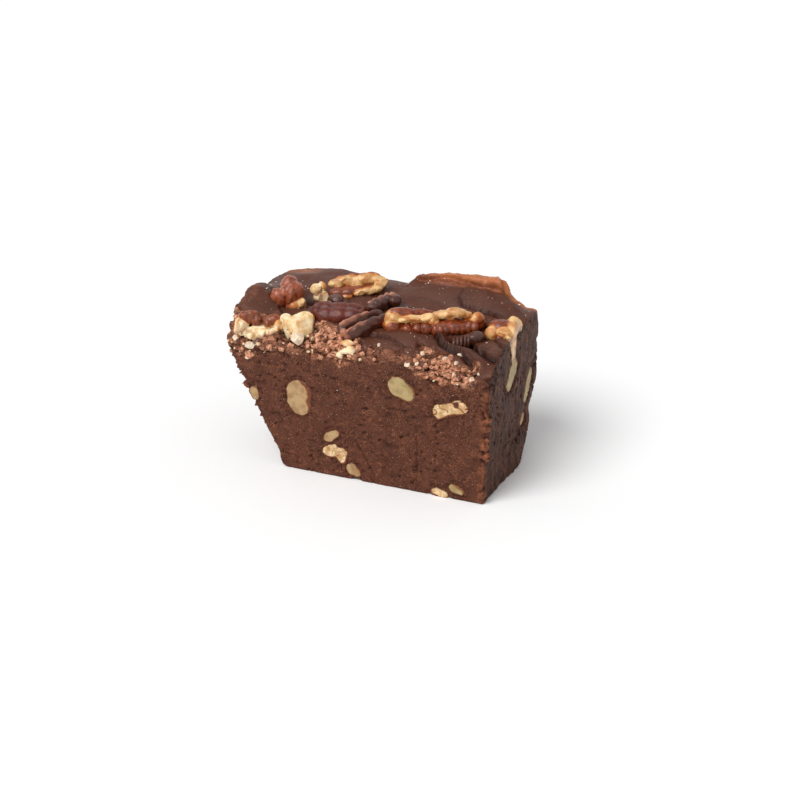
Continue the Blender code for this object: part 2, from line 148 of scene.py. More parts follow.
class Finish:
    """One material, built node by node."""

    def __init__(self, name):
        self.material = bpy.data.materials.new(name)
        self.material.use_nodes = True
        self.tree = self.material.node_tree
        self.shader = self.tree.nodes["Principled BSDF"]

    def node(self, kind, settings=None, sockets=None, output=0):
        made = self.tree.nodes.new(kind)
        for name, setting in (settings or {}).items():
            setattr(made, name, setting)
        for name, given in (sockets or {}).items():
            self.feed(made.inputs[name], given)
        return Value(self, made.outputs[output])

    def feed(self, socket, given):
        """Link a Value to a socket, or set the socket to a number or a colour."""
        if isinstance(given, Value):
            self.tree.links.new(given.socket, socket)
        elif isinstance(given, tuple) and len(given) == 3 and len(socket.default_value) == 4:
            socket.default_value = (*given, 1.0)
        else:
            socket.default_value = given

    def mix(self, share, first, second):
        """Two colours mixed by a share."""
        settings = {"data_type": "RGBA", "clamp_factor": True}
        return self.node("ShaderNodeMix", settings, {0: share, 6: first, 7: second}, output=2)

    def place(self):
        """Where the surface lies, in metres."""
        return self.node("ShaderNodeTexCoord", output=3)

    def stretched(self, stretch):
        """The place, scaled along each axis."""
        return self.node("ShaderNodeVectorMath", {"operation": "MULTIPLY"}, {0: self.place(), 1: stretch})

    def noise(self, size, detail=3.0, roughness=0.55, distortion=0.0, stretch=(1.0, 1.0, 1.0)):
        """Cloudy noise; size is the length of its waves in metres."""
        sockets = {"Vector": self.stretched(stretch), "Scale": 1.0 / size, "Detail": detail,
                   "Roughness": roughness, "Distortion": distortion}
        return self.node("ShaderNodeTexNoise", None, sockets)

    def cells(self, size, feature="F1", stretch=(1.0, 1.0, 1.0)):
        """Cells of a size in metres: the distance to their middles, or to their edges."""
        sockets = {"Vector": self.stretched(stretch), "Scale": 1.0 / size}
        return self.node("ShaderNodeTexVoronoi", {"feature": feature}, sockets)

    def grain(self, name):
        """A number stored at the piece's points."""
        return self.node("ShaderNodeAttribute", {"attribute_name": name}, output=2)

    def surface(self, colour, roughness, height=None, depth=0.0, **fixed):
        """Connect the colour, roughness and relief, and set what is the same all over."""
        self.feed(self.shader.inputs["Base Color"], colour)
        self.feed(self.shader.inputs["Roughness"], roughness)
        for name, number in fixed.items():
            self.shader.inputs[name.replace("_", " ")].default_value = number
        if height is not None:
            bump = self.node("ShaderNodeBump", None, {"Height": height, "Distance": depth, "Strength": 1.0})
            self.feed(self.shader.inputs["Normal"], bump)
        return self.material


def has(value, low, high):
    """A speckle mask: 1 where a value lies under low, 0 over high."""
    return 1.0 - value.ramp(low, high)


# %% Floor, surround and key light
FLOOR_SIZE = 6.0
SURROUND_STRENGTH = 0.50
KEY_FROM = Vector((-0.26, -0.58, 0.80))
KEY_STRENGTH = 2.3
KEY_SPREAD = math.radians(36.0)

floor_bm = bmesh.new()
bmesh.ops.create_grid(floor_bm, x_segments=1, y_segments=1, size=FLOOR_SIZE / 2)
floor_mesh = bpy.data.meshes.new("floor")
floor_bm.to_mesh(floor_mesh)
floor_bm.free()
floor = bpy.data.objects.new("floor", floor_mesh)
bpy.context.scene.collection.objects.link(floor)
paper = Finish("white_paper")
floor_mesh.materials.append(paper.surface((0.97, 0.97, 0.97), 0.9, Specular_IOR_Level=0.0))

world = bpy.data.worlds.new("surround")
world.use_nodes = True
sky = world.node_tree.nodes
lights = world.node_tree.links
ray = sky.new("ShaderNodeLightPath")
direct = sky.new("ShaderNodeMath")
direct.operation = "MAXIMUM"
lights.new(ray.outputs["Is Camera Ray"], direct.inputs[0])
lights.new(ray.outputs["Is Transmission Ray"], direct.inputs[1])
seen = sky.new("ShaderNodeMath")
seen.operation = "MAXIMUM"
lights.new(direct.outputs[0], seen.inputs[0])
lights.new(ray.outputs["Is Glossy Ray"], seen.inputs[1])
strength = sky.new("ShaderNodeMapRange")
strength.inputs["To Min"].default_value = SURROUND_STRENGTH
strength.inputs["To Max"].default_value = 1.0
lights.new(seen.outputs[0], strength.inputs["Value"])
lights.new(strength.outputs[0], sky["Background"].inputs["Strength"])
sky["Background"].inputs["Color"].default_value = (1.0, 1.0, 1.0, 1.0)
bpy.context.scene.world = world

key = bpy.data.objects.new("key_light", bpy.data.lights.new("key_light", "SUN"))
key.data.energy = KEY_STRENGTH
key.data.angle = KEY_SPREAD
key.rotation_mode = "QUATERNION"
key.rotation_quaternion = KEY_FROM.to_track_quat("Z", "Y")
bpy.context.scene.collection.objects.link(key)
print("floor and light are in place")

# %% [markdown]
# ## Working on points with numpy
# The skin of the fudge has very many points, so its relief is worked out for all of them at once.
# `wave_noise` is smooth noise from random numbers on a lattice, and `cell_noise` gives cracked cells:
# how far each point is from the middle of its cell and from the next one, and a number for the cell.
# Both depend only on the place and a seed, so they come out the same every time.


# %% Noise
def lattice_number(cell, seed):
    """A repeatable number from 0 to 1 for each lattice point."""
    x, y, z = (cell[..., axis].astype(np.int64) for axis in range(3))
    mixed = (x * 374761393 + y * 668265263 + z * 1440662683 + seed * 974634777) & 0xFFFFFFFF
    mixed = ((mixed ^ (mixed >> 13)) * 1274126177) & 0xFFFFFFFF
    mixed = mixed ^ (mixed >> 16)
    return (mixed & 0xFFFFFF) / float(0xFFFFFF)


def wave_noise(points, size, seed=0, octaves=1):
    """Smooth noise from -1 to 1.  size is the length of its waves in mm, for points in mm."""
    total = np.zeros(len(points))
    reach = 0.0
    for octave in range(octaves):
        scaled = points * (2.0 ** octave) / size
        base = np.floor(scaled)
        share = scaled - base
        share = share * share * (3.0 - 2.0 * share)
        level = np.zeros(len(points))
        for corner in np.ndindex(2, 2, 2):
            weight = np.prod(np.where(corner, share, 1.0 - share), axis=1)
            level += weight * lattice_number(base + np.array(corner), seed + octave)
        total += (2.0 * level - 1.0) * 0.5 ** octave
        reach += 0.5 ** octave
    return total / reach


def cell_noise(points, size, seed=0):
    """Cracked cells: distance to the nearest middle and to the next (in cell sizes), the cell's number
    from 0 to 1, and a tilt from -1 to 1 that makes each cell a flat facet of its own slope."""
    scaled = points / size
    base = np.floor(scaled)
    near = np.full(len(points), 9.0)
    following = np.full(len(points), 9.0)
    number = np.zeros(len(points))
    tilt = np.zeros(len(points))
    for step in np.ndindex(3, 3, 3):
        cell = base + np.array(step) - 1.0
        dice = [lattice_number(cell, seed + 11 * throw) for throw in range(6)]
        offset = scaled - cell - np.stack(dice[:3], axis=1)
        slope = np.stack(dice[3:], axis=1) * 2.0 - 1.0
        distance = np.linalg.norm(offset, axis=1)
        closer = distance < near
        following = np.where(closer, near, np.minimum(following, distance))
        number = np.where(closer, dice[5], number)
        tilt = np.where(closer, np.sum(offset * slope, axis=1), tilt)
        near = np.where(closer, distance, near)
    return near, following, number, tilt


def ease(values, low, high):
    """0 at low, 1 at high, soft between; low may be above high."""
    share = np.clip((values - low) / (high - low), 0.0, 1.0)
    return share * share * (3.0 - 2.0 * share)


# %% [markdown]
# ## Skins
# Every edible piece here is made alike.  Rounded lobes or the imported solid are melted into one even
# skin by a voxel remesh, softened, and then moved point by point along the normals.  A voxel skin is
# closed and has cells of one size, so it takes relief well everywhere.


# %% Mesh helpers
def linked(mesh, name):
    """An object in the scene for a mesh."""
    made = bpy.data.objects.new(name, mesh)
    bpy.context.scene.collection.objects.link(made)
    return made


def evaluated(item):
    """The mesh of an object with its modifiers applied; the object is removed."""
    bpy.context.view_layer.update()
    mesh = bpy.data.meshes.new_from_object(item.evaluated_get(bpy.context.evaluated_depsgraph_get()))
    bpy.data.objects.remove(item, do_unlink=True)
    return mesh


def melted(bm, cell, softening):
    """One closed skin over everything in a bmesh, with cells of one size in mm."""
    mesh = bpy.data.meshes.new("draft")
    bm.to_mesh(mesh)
    bm.free()
    draft = linked(mesh, "draft")
    remesh = draft.modifiers.new("melt", "REMESH")
    remesh.mode = "VOXEL"
    remesh.voxel_size = cell * MM
    smooth = draft.modifiers.new("soften", "SMOOTH")
    smooth.factor = 0.5
    smooth.iterations = softening
    return evaluated(draft)


def points_of(mesh):
    """The points of a mesh in mm, as rows."""
    flat = np.empty(len(mesh.vertices) * 3)
    mesh.vertices.foreach_get("co", flat)
    return flat.reshape(-1, 3) / MM


def normals_of(mesh):
    """The normals at the points of a mesh, as rows."""
    flat = np.empty(len(mesh.vertices) * 3)
    mesh.vertex_normals.foreach_get("vector", flat)
    return flat.reshape(-1, 3)


def put_points(mesh, points):
    """Move the points of a mesh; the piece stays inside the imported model's box."""
    inside = np.clip(points * MM, np.array(cad_low), np.array(cad_high))
    mesh.vertices.foreach_set("co", inside.ravel())
    mesh.update()


def store(mesh, name, values):
    """Keep one number for each point, for the shader to read."""
    layer = mesh.attributes.new(name, "FLOAT", "POINT")
    layer.data.foreach_set("value", np.clip(values, 0.0, 1.0).astype(np.float32))


def finished(mesh, name, look, slot, *nodes):
    """Make the piece: smooth shading, its finish, and its place in the frame."""
    mesh.name = name
    mesh.materials.clear()
    mesh.materials.append(look)
    mesh.shade_smooth()
    piece = linked(mesh, name)
    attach(piece, "root")
    if nodes:
        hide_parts(*nodes)
    triangles = sum(len(face.vertices) - 2 for face in mesh.polygons)
    print(name, "has", triangles, "triangles")
    return piece


def merged_copy(node):
    """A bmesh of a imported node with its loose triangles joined."""
    bm = bmesh.new()
    bm.from_mesh(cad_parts[node].data)
    bmesh.ops.remove_doubles(bm, verts=bm.verts, dist=0.001 * MM)
    return bm


# %% The cut planes
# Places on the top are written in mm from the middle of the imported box, and heights from the floor.
home = np.array((middle.x, middle.y, 0.0)) / MM
fudge_low, fudge_high = (np.array(corner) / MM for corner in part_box("fudge_block"))
FRONT = fudge_low[1]
CUT_FOOT_X = fudge_high[0] - 1.9       # the right cut face at the floor; it leans out to the box's side
CUT_TOP = 44.5


def right_wall_at(level):
    """Where the right cut face lies at a height, in mm."""
    return CUT_FOOT_X + (fudge_high[0] - 0.25 - CUT_FOOT_X) * level / CUT_TOP


# %% [markdown]
# ## Pecans in the top
# Each pecan was pressed into the warm fudge, so only its upper part shows.  A pecan half has a thin
# red-brown skin, wrinkled lengthwise, and pale, waxy, craggy meat where it broke.  Each one is built
# from lobes in its own frame: X along the nut, Y away from the front, Z up.  A lobe has a kind, which
# says how bare it is: 0 is skin, 1 is bare meat, and between them is the amber layer under the skin.
# The lobes melt into one skin, flat breaks are cut by planes, and every point takes its kind from the
# lobes nearest to it.

# %% Growing a nut
SKIN, RUBBED, WORN, AMBER, TAN, SCRAPED, MEAT = 0.0, 0.2, 0.3, 0.42, 0.68, 0.8, 1.0
fudge_tree = BVHTree.FromBMesh(merged_copy("fudge_block"))
nut_pieces = []


def row_of(kind, start, end, count, radii, taper=0.75, wobble=0.0):
    """Lobes in a row from start to end, smaller towards the ends."""
    made = []
    for step in range(count):
        share = step / max(count - 1, 1)
        full = taper + (1.0 - taper) * math.sin(math.pi * (0.1 + 0.8 * share))
        place = Vector(start).lerp(Vector(end), share)
        place.z += wobble * math.sin(2.4 * step)
        place.y += 0.6 * wobble * math.sin(1.7 * step + 1.0)
        made.append((kind, tuple(place), tuple(radius * full for radius in radii)))
    return made


def knock_flat(verts, centre, radii, throws, cuts=7):
    """Press flat facets into a lobe, as where brittle meat broke."""
    for _ in range(cuts):
        facing_out = throws.normal(size=3)
        facing_out /= np.linalg.norm(facing_out)
        limit = throws.uniform(0.55, 0.86)
        for vert in verts:
            unit = (np.array(vert.co) - centre) / radii
            beyond = unit @ facing_out - limit
            if beyond > 0.0:
                vert.co = Vector(centre + (unit - beyond * facing_out) * radii)


def own_frame(node, heading, climb, shift=(0.0, 0.0, 0.0)):
    """A nut's frame in the middle of its packed box, turned to its heading and climb."""
    low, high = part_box(node)
    place = Matrix.Translation((low + high) / 2 + Vector(shift) * MM)
    turn = Matrix.Rotation(math.radians(heading), 4, "Z")
    return place @ turn @ Matrix.Rotation(math.radians(-climb), 4, "Y")


def cut_off(bm, point, normal):
    """Cut by a plane, keep what lies behind it, and close the cut."""
    parts = bm.verts[:] + bm.edges[:] + bm.faces[:]
    cut = bmesh.ops.bisect_plane(bm, geom=parts, plane_co=Vector(point) * MM, plane_no=Vector(normal),
                                 clear_outer=True)
    rim = [item for item in cut["geom_cut"] if isinstance(item, bmesh.types.BMEdge) and item.is_boundary]
    bmesh.ops.holes_fill(bm, edges=rim)


def kind_at(points, lobes):
    """How bare each point is, from the lobes nearest to it."""
    weights = np.zeros(len(points))
    total = np.zeros(len(points))
    for kind, place, radii in lobes:
        away = np.linalg.norm((points - np.array(place)) / np.array(radii), axis=1) - 1.0
        weight = np.exp(-np.clip(away * min(radii), -2.0, 8.0) / 0.22)
        weights += weight
        total += weight * kind
    return total / weights


def near_fudge(points):
    """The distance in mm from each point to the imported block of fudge."""
    return np.array([fudge_tree.find_nearest(Vector(point) * MM)[3] / MM for point in points])


def grow(name, slot, look, frame_of_nut, lobes, breaks=(), cell=0.26, wrinkle=0.16, crag=0.26, seed=0,
         softening=4, warp=0.32, limit=None):
    """A nut's mesh in place, with its relief and its stored numbers."""
    throws = np.random.default_rng(100 + seed)
    bm = bmesh.new()
    for kind, place, radii in lobes:
        size = Matrix.Diagonal((*(Vector(radii) * MM), 1.0))
        matrix = Matrix.Translation(Vector(place) * MM) @ size
        ball = bmesh.ops.create_icosphere(bm, subdivisions=3, radius=1.0, matrix=matrix)
        if kind >= TAN:
            knock_flat(ball["verts"], np.array(place) * MM, np.array(radii) * MM, throws)
    mesh = melted(bm, 0.8 * cell, softening)
    if breaks:
        bm = bmesh.new()
        bm.from_mesh(mesh)
        for point, normal in breaks:
            cut_off(bm, point, normal)
        mesh = melted(bm, 0.8 * cell, 1)
    points = points_of(mesh)
    normals = normals_of(mesh)
    where = points + 40.0 * seed
    bend = np.stack([wave_noise(where, 2.6, 301 + axis) for axis in range(3)], axis=1)
    points = points + warp * bend
    bare = kind_at(points - warp * bend, lobes)
    for point, normal in breaks:
        unit = np.array(normal) / np.linalg.norm(normal)
        bare = np.maximum(bare, ease(np.abs((points - np.array(point)) @ unit), 0.5, 0.25))
    edge = 0.30 * wave_noise(where, 1.5, 3, 2)
    bare = np.clip(bare + edge * (1.0 - np.abs(2.0 * bare - 1.0) * 0.55), 0.0, 1.0)
    lengthwise = where * np.array([0.30, 1.0, 1.0]) + 0.6 * wave_noise(where, 3.0, 11)[:, None]
    ridge = 1.0 - np.abs(wave_noise(lengthwise, 2.0, 13)) * 2.4
    lines = wrinkle * (ridge - 0.45) + 0.14 * wave_noise(where, 2.6, 17)
    near, following, number, tilt = cell_noise(where + 0.3 * wave_noise(where, 1.4, 19)[:, None], 3.0, 23)
    rough = crag * (0.4 * (number - 0.5) + 1.1 * tilt) - 0.25 * crag * ease(following - near, 0.10, 0.0)
    rough += 0.03 * wave_noise(where, 0.9, 29, 2)
    share = ease(bare, 0.40, 0.70)
    relief = (1.0 - share) * lines + share * rough
    # A bare break lies a little deeper than the skin round it.
    relief -= 0.15 * ease(bare, 0.55, 0.8)
    points = points + normals * (relief + 0.22)[:, None]
    turned = np.array(frame_of_nut)
    placed = (points * MM) @ turned[:3, :3].T + turned[:3, 3]
    placed = placed / MM
    if limit is not None:
        placed = limit(placed)
    put_points(mesh, placed)
    gap = near_fudge(placed)
    store(mesh, "bare", bare)
    # How deep each point lies in a hollow, for the painted shade there.
    store(mesh, "hollow_shade", ease(-relief, 0.10, 0.38))
    store(mesh, "smear", ease(gap + 0.35 * wave_noise(where, 1.2, 37, 2), 0.85, 0.35))
    nut_pieces.append(finished(mesh, name, look, slot, name))


def nut_finish(name, skins, amber, meats, gloss, coat=0.0, veined=0.22):
    """The skin, the amber layer and the meat of a nut, painted shade in its hollows, and stains of fudge at its
    foot.
    """
    look = Finish(name)
    bare, hollow_shade, smear = look.grain("bare"), look.grain("hollow_shade"), look.grain("smear")
    streak = look.noise(1.3 * MM, 4.0, 0.6, 0.8).ramp(0.30, 0.70)
    skin = look.mix(streak, *skins)
    speck = has(look.cells(0.7 * MM), 0.08, 0.2) * look.noise(1.8 * MM).ramp(0.5, 0.62)
    skin = look.mix(speck * 0.5, skin, meats[0])
    meat = look.mix(look.noise(2.6 * MM, 3.0, 0.5).ramp(0.34, 0.62), *meats)
    veins = 1.0 - look.noise(1.3 * MM, 3.0, 0.6).ramp(0.36, 0.46)
    meat = look.mix(veins * veined, meat, amber)
    colour = look.mix(bare.ramp(0.18, 0.42), skin, amber)
    colour = look.mix(bare.ramp(0.46, 0.78), colour, meat)
    # Painted shade in the hollows: near black on the skin, amber on the meat.
    shaded = look.mix(bare.ramp(0.3, 0.7), (0.045, 0.010, 0.004), (0.42, 0.150, 0.035))
    colour = look.mix(hollow_shade * 0.60, colour, shaded)
    stain = (smear * 0.9) * look.noise(0.8 * MM, 3.0).ramp(0.36, 0.56)
    colour = look.mix(stain, colour, (0.085, 0.030, 0.020))
    fine = look.noise(0.38 * MM, 3.0, 0.6)
    rough = gloss + (fine - 0.5) * 0.3 + bare * 0.04
    return look.surface(colour, rough.within(), fine + streak * 0.5, 0.06 * MM, Specular_IOR_Level=0.34,
                        Subsurface_Weight=0.35, Subsurface_Scale=0.9 * MM, Coat_Weight=coat,
                        Coat_Roughness=0.25)


pecan_skin = nut_finish("pecan_skin", ((0.095, 0.015, 0.003), (0.300, 0.056, 0.011)), (0.56, 0.175, 0.030),
                        ((0.52, 0.225, 0.060), (0.84, 0.54, 0.24)), 0.30, 0.20)
ruddy_skin = nut_finish("ruddy_skin", ((0.170, 0.033, 0.010), (0.420, 0.105, 0.040)), (0.56, 0.190, 0.045),
                        ((0.58, 0.300, 0.100), (0.88, 0.62, 0.32)), 0.28, 0.20)
pecan_meat = nut_finish("pecan_meat", ((0.125, 0.024, 0.005), (0.320, 0.075, 0.018)), (0.66, 0.290, 0.070),
                        ((0.78, 0.500, 0.215), (0.97, 0.80, 0.53)), 0.32, 0.15)
sliced_meat = nut_finish("sliced_meat", ((0.110, 0.026, 0.008), (0.230, 0.065, 0.022)), (0.38, 0.170, 0.050),
                         ((0.34, 0.195, 0.085), (0.48, 0.310, 0.150)), 0.42, 0.0, 0.10)
crumbly_meat = nut_finish("crumbly_meat", ((0.110, 0.026, 0.008), (0.230, 0.065, 0.022)), (0.44, 0.180, 0.050),
                          ((0.52, 0.310, 0.130), (0.80, 0.58, 0.33)), 0.42)
green_meat = nut_finish("green_meat", ((0.20, 0.075, 0.020), (0.30, 0.120, 0.035)), (0.36, 0.210, 0.065),
                        ((0.34, 0.232, 0.095), (0.46, 0.335, 0.155)), 0.40, 0.0, 0.10)
stained_skin = nut_finish("stained_skin", ((0.060, 0.007, 0.003), (0.165, 0.022, 0.008)), (0.28, 0.08, 0.03),
                          ((0.35, 0.14, 0.07), (0.45, 0.20, 0.10)), 0.38, 0.0)
coated_nut = nut_finish("coated_nut", ((0.045, 0.010, 0.005), (0.100, 0.026, 0.013)), (0.20, 0.064, 0.034),
                        ((0.30, 0.105, 0.060), (0.46, 0.205, 0.125)), 0.34, 0.15)

# %% [markdown]
# The largest pecan lies on its side.  Its lower half shows plump brown folds, its upper edge is broken
# to cream meat, and a patch of skin is left at the upper left.  The half behind it lies hollow side up:
# a brown trough between a pale upper strip, with a dark rim of skin, and a pale lower lip.

# %% The long pecan and the one behind it
long_frame = own_frame("pecan_long", 23, 0, (0.1, 0.5, 0.1))
long_lobes = (row_of(SKIN, (-10.6, 0.8, -1.3), (10.0, 0.6, -1.4), 5, (4.0, 2.3, 2.5), 0.88)
              + [(SKIN, (-11.7, -1.3, -1.5), (2.2, 2.0, 2.6)), (SKIN, (-7.9, -2.0, -2.1), (1.8, 2.0, 2.3)),
                 (SKIN, (-5.0, -2.1, -1.9), (1.5, 2.0, 2.4)), (SKIN, (-2.6, -1.7, -1.6), (2.0, 2.1, 2.1))]
              + row_of(SKIN, (0.2, -1.9, -1.8), (11.4, -1.2, -1.1), 8, (1.2, 2.0, 1.9), 0.9, 0.12)
              + [(SKIN, (5.0, -1.6, -0.6), (6.5, 1.5, 1.2)),
                 (SKIN, (-9.4, 1.3, 2.3), (3.8, 1.8, 1.6)), (SKIN, (-3.6, 1.9, 2.1), (4.2, 1.0, 1.0)),
                 (TAN, (-12.9, 0.0, 1.0), (1.3, 2.1, 2.9)),
                 (MEAT, (-11.4, -0.8, 1.5), (1.6, 1.5, 1.6)), (MEAT, (-8.4, -1.0, 1.3), (3.4, 1.3, 0.9)),
                 (MEAT, (-5.0, -0.8, 1.4), (3.4, 1.3, 1.0)), (MEAT, (-2.2, -0.8, 1.7), (2.6, 1.5, 1.3)),
                 (TAN, (-0.3, -0.9, 0.9), (1.6, 1.5, 1.6)), (MEAT, (2.0, 0.3, 2.3), (2.8, 1.7, 1.4)),
                 (TAN, (3.8, 0.0, 2.1), (2.4, 1.6, 1.4)), (MEAT, (6.2, 0.5, 2.6), (3.8, 1.7, 1.5)),
                 (MEAT, (9.0, 0.6, 1.9), (2.6, 1.4, 1.1)), (WORN, (12.4, 0.7, 0.7), (1.8, 2.0, 1.9)),
                 (SKIN, (13.0, 0.9, -0.9), (1.7, 1.8, 1.8)), (TAN, (11.2, -0.2, 1.3), (1.3, 1.2, 1.2))])
grow("pecan_long", "pecan_skin", pecan_skin, long_frame, long_lobes, wrinkle=0.11, crag=0.15, seed=1,
     warp=0.22)

back_frame = own_frame("pecan_back", 26, 3, (0.3, 0.0, -0.5))
back_lobes = (row_of(MEAT, (-6.6, 1.6, 0.3), (4.8, 1.4, 0.7), 5, (3.2, 1.5, 1.8), 0.9, 0.25)
              + row_of(SKIN, (-4.6, 2.6, 1.7), (4.0, 2.3, 1.9), 4, (2.4, 0.9, 0.8), 0.8, 0.12)
              + row_of(SKIN, (-6.4, -1.2, -1.4), (2.6, -1.0, -1.5), 4, (2.8, 2.0, 1.4), 0.9)
              + row_of(MEAT, (-0.4, -2.9, -1.5), (5.0, -2.2, -1.3), 4, (2.0, 0.8, 1.1), 0.9, 0.15)
              + [(TAN, (-5.0, -2.9, -2.3), (3.4, 0.7, 0.7)), (MEAT, (6.9, 0.3, 0.0), (1.8, 2.0, 1.8)),
                 (MEAT, (5.2, -0.8, -0.9), (1.7, 1.7, 1.6))])
grow("pecan_back", "pecan_meat", pecan_skin, back_frame, back_lobes, cell=0.24, wrinkle=0.12, crag=0.18,
     seed=2, warp=0.2)

# %% [markdown]
# To the left stand a plump red-brown chunk with a broken lower end, a small beige bit, and a bit that
# the fudge coated.  In front of them lies a half with its stained skin up.

# %% Chunk, bits and the stained half
chunk_frame = own_frame("pecan_chunk", 25, -9, (0.1, -0.3, -0.6))
chunk_lobes = [(SKIN, (0.3, 0.5, 0.6), (3.2, 3.0, 4.4)), (SKIN, (-0.7, 2.0, 2.7), (2.6, 2.5, 3.0)),
               (SKIN, (2.0, 0.4, 1.2), (1.6, 2.2, 3.4)), (SKIN, (-3.9, 0.9, -0.6), (1.9, 2.2, 2.4)),
               (SKIN, (-2.2, -0.4, -0.2), (1.5, 2.1, 3.6)), (SKIN, (0.0, -1.3, 0.6), (1.2, 1.9, 3.6)),
               (AMBER, (1.4, -2.2, -2.3), (2.2, 1.9, 2.1)), (TAN, (3.2, -1.6, -1.6), (2.1, 2.1, 2.3)),
               (MEAT, (3.9, -1.0, -2.6), (1.6, 1.8, 1.7))]
chunk_breaks = (((3.2, -2.9, -2.4), (0.62, -0.66, -0.42)), ((4.6, -1.2, -1.0), (0.95, -0.25, 0.15)))
grow("pecan_chunk", "pecan_skin", ruddy_skin, chunk_frame, chunk_lobes, chunk_breaks, cell=0.24,
     wrinkle=0.12, crag=0.20, seed=3, warp=0.18)

bit_frame = own_frame("pecan_bit", 18, -23)
bit_lobes = [(MEAT, (-1.2, 0.2, 0.9), (2.1, 1.8, 1.8)), (TAN, (1.1, -0.4, -0.4), (2.0, 1.8, 1.7)),
             (MEAT, (0.1, 0.6, -1.1), (1.8, 1.6, 1.7)), (AMBER, (-0.2, 0.9, 2.0), (1.4, 1.2, 1.1))]
bit_breaks = (((0.0, -1.5, 0.0), (0.2, -0.95, 0.2)),)
grow("pecan_bit", "pecan_meat", pecan_meat, bit_frame, bit_lobes, bit_breaks, cell=0.22, wrinkle=0.12,
     crag=0.36, seed=4, softening=3)

coated_frame = own_frame("coated_bit", 16, -12)
coated_lobes = [(SKIN, (-0.6, 0.3, 0.5), (2.3, 2.0, 1.9)), (SKIN, (2.0, 0.1, -0.2), (1.7, 1.8, 1.7)),
                (MEAT, (-2.2, -0.9, -1.0), (1.5, 1.4, 1.3))]
grow("coated_bit", "coated_nut", coated_nut, coated_frame, coated_lobes, cell=0.24, wrinkle=0.22, crag=0.2,
     seed=5)

stained_frame = own_frame("pecan_stained", 13, 0, (0.2, 0.0, 0.0))
stained_lobes = (row_of(SKIN, (-4.2, 1.7, 0.2), (4.0, 1.5, 0.2), 3, (4.2, 2.5, 2.9), 0.85)
                 + row_of(SKIN, (-3.2, -1.9, -0.5), (4.2, -1.8, -0.2), 3, (4.0, 2.3, 2.8), 0.85)
                 + [(RUBBED, (6.6, 0.6, 0.0), (1.2, 1.6, 1.8)), (SKIN, (-6.4, 0.6, 0.0), (1.6, 2.2, 2.0))])
grow("pecan_stained", "pecan_skin", stained_skin, stained_frame, stained_lobes, wrinkle=0.13, crag=0.2,
     seed=6, warp=0.2)

# %% [markdown]
# In the middle a half lies hollow side up with fudge over it, so it is a dark trough between two
# rims.  The rims are scraped to a pinkish brown.  Another coated piece leans behind it, and a ribbed
# one lies in a hollow of the top on the right.

# %% Coated nuts
half_frame = own_frame("coated_half", 57, 8, (0.2, 0.1, -0.1))
half_lobes = (row_of(SKIN, (-4.8, 2.2, 0.7), (4.4, 2.0, 0.5), 4, (3.4, 1.1, 2.2), 0.85)
              + row_of(SKIN, (-4.4, -1.9, 0.2), (4.8, -1.7, 0.3), 4, (3.6, 1.6, 2.5), 0.85)
              + row_of(SKIN, (-4.8, 0.1, -1.7), (4.8, 0.1, -1.5), 4, (3.2, 1.8, 1.5), 0.9)
              + row_of(SCRAPED, (-6.0, 2.4, 2.4), (1.4, 2.3, 2.6), 5, (1.6, 0.8, 0.7), 0.9)
              + row_of(SCRAPED, (-6.2, -1.7, 1.9), (-2.2, -1.6, 2.3), 3, (1.5, 0.8, 0.7), 0.9)
              + [(SCRAPED, (-7.0, 0.8, 0.2), (0.9, 1.5, 1.4)), (SCRAPED, (-7.0, -1.2, -0.1), (0.9, 1.3, 1.4))])
grow("coated_half", "coated_nut", coated_nut, half_frame, half_lobes, wrinkle=0.14, crag=0.16, seed=7)

ridge_frame = own_frame("coated_ridge", 68, 3)
ridge_lobes = (row_of(SKIN, (-4.3, 0.5, -0.2), (4.2, 0.3, 0.0), 5, (1.9, 1.9, 2.0), 0.8, 0.15)
               + row_of(MEAT, (-3.8, 1.6, 1.5), (2.4, 1.4, 1.8), 4, (1.2, 0.5, 0.5), 0.9)
               + [(SKIN, (3.0, -1.6, 0.2), (1.8, 1.4, 1.6)), (MEAT, (3.6, 0.2, 1.7), (1.2, 1.0, 0.7))])
grow("coated_ridge", "coated_nut", coated_nut, ridge_frame, ridge_lobes, wrinkle=0.2, crag=0.2, seed=8)

ribbed_frame = own_frame("coated_ridged", 25, 3)
ribbed_lobes = (row_of(SKIN, (-3.8, -0.4, -0.6), (0.4, -0.3, -0.5), 5, (0.55, 2.2, 1.9), 0.85)
                + [(SKIN, (0.8, 0.6, -0.2), (3.8, 1.9, 1.8)), (SKIN, (2.4, 0.4, 0.2), (2.4, 2.1, 1.9))])
grow("coated_ridged", "coated_nut", coated_nut, ribbed_frame, ribbed_lobes, cell=0.24, wrinkle=0.1,
     crag=0.16, seed=9)

# %% [markdown]
# Along the front edge the knife went close to three broken pecans.  The left one has a brown arch of
# skin over a hollow and a ragged pale break under it.  The next is a clear-cut wedge of meat.  A small
# knuckle of meat sticks out of the crumbled edge.  At the right corner the knife cut through a pecan,
# and pale strands of it run down the right face.

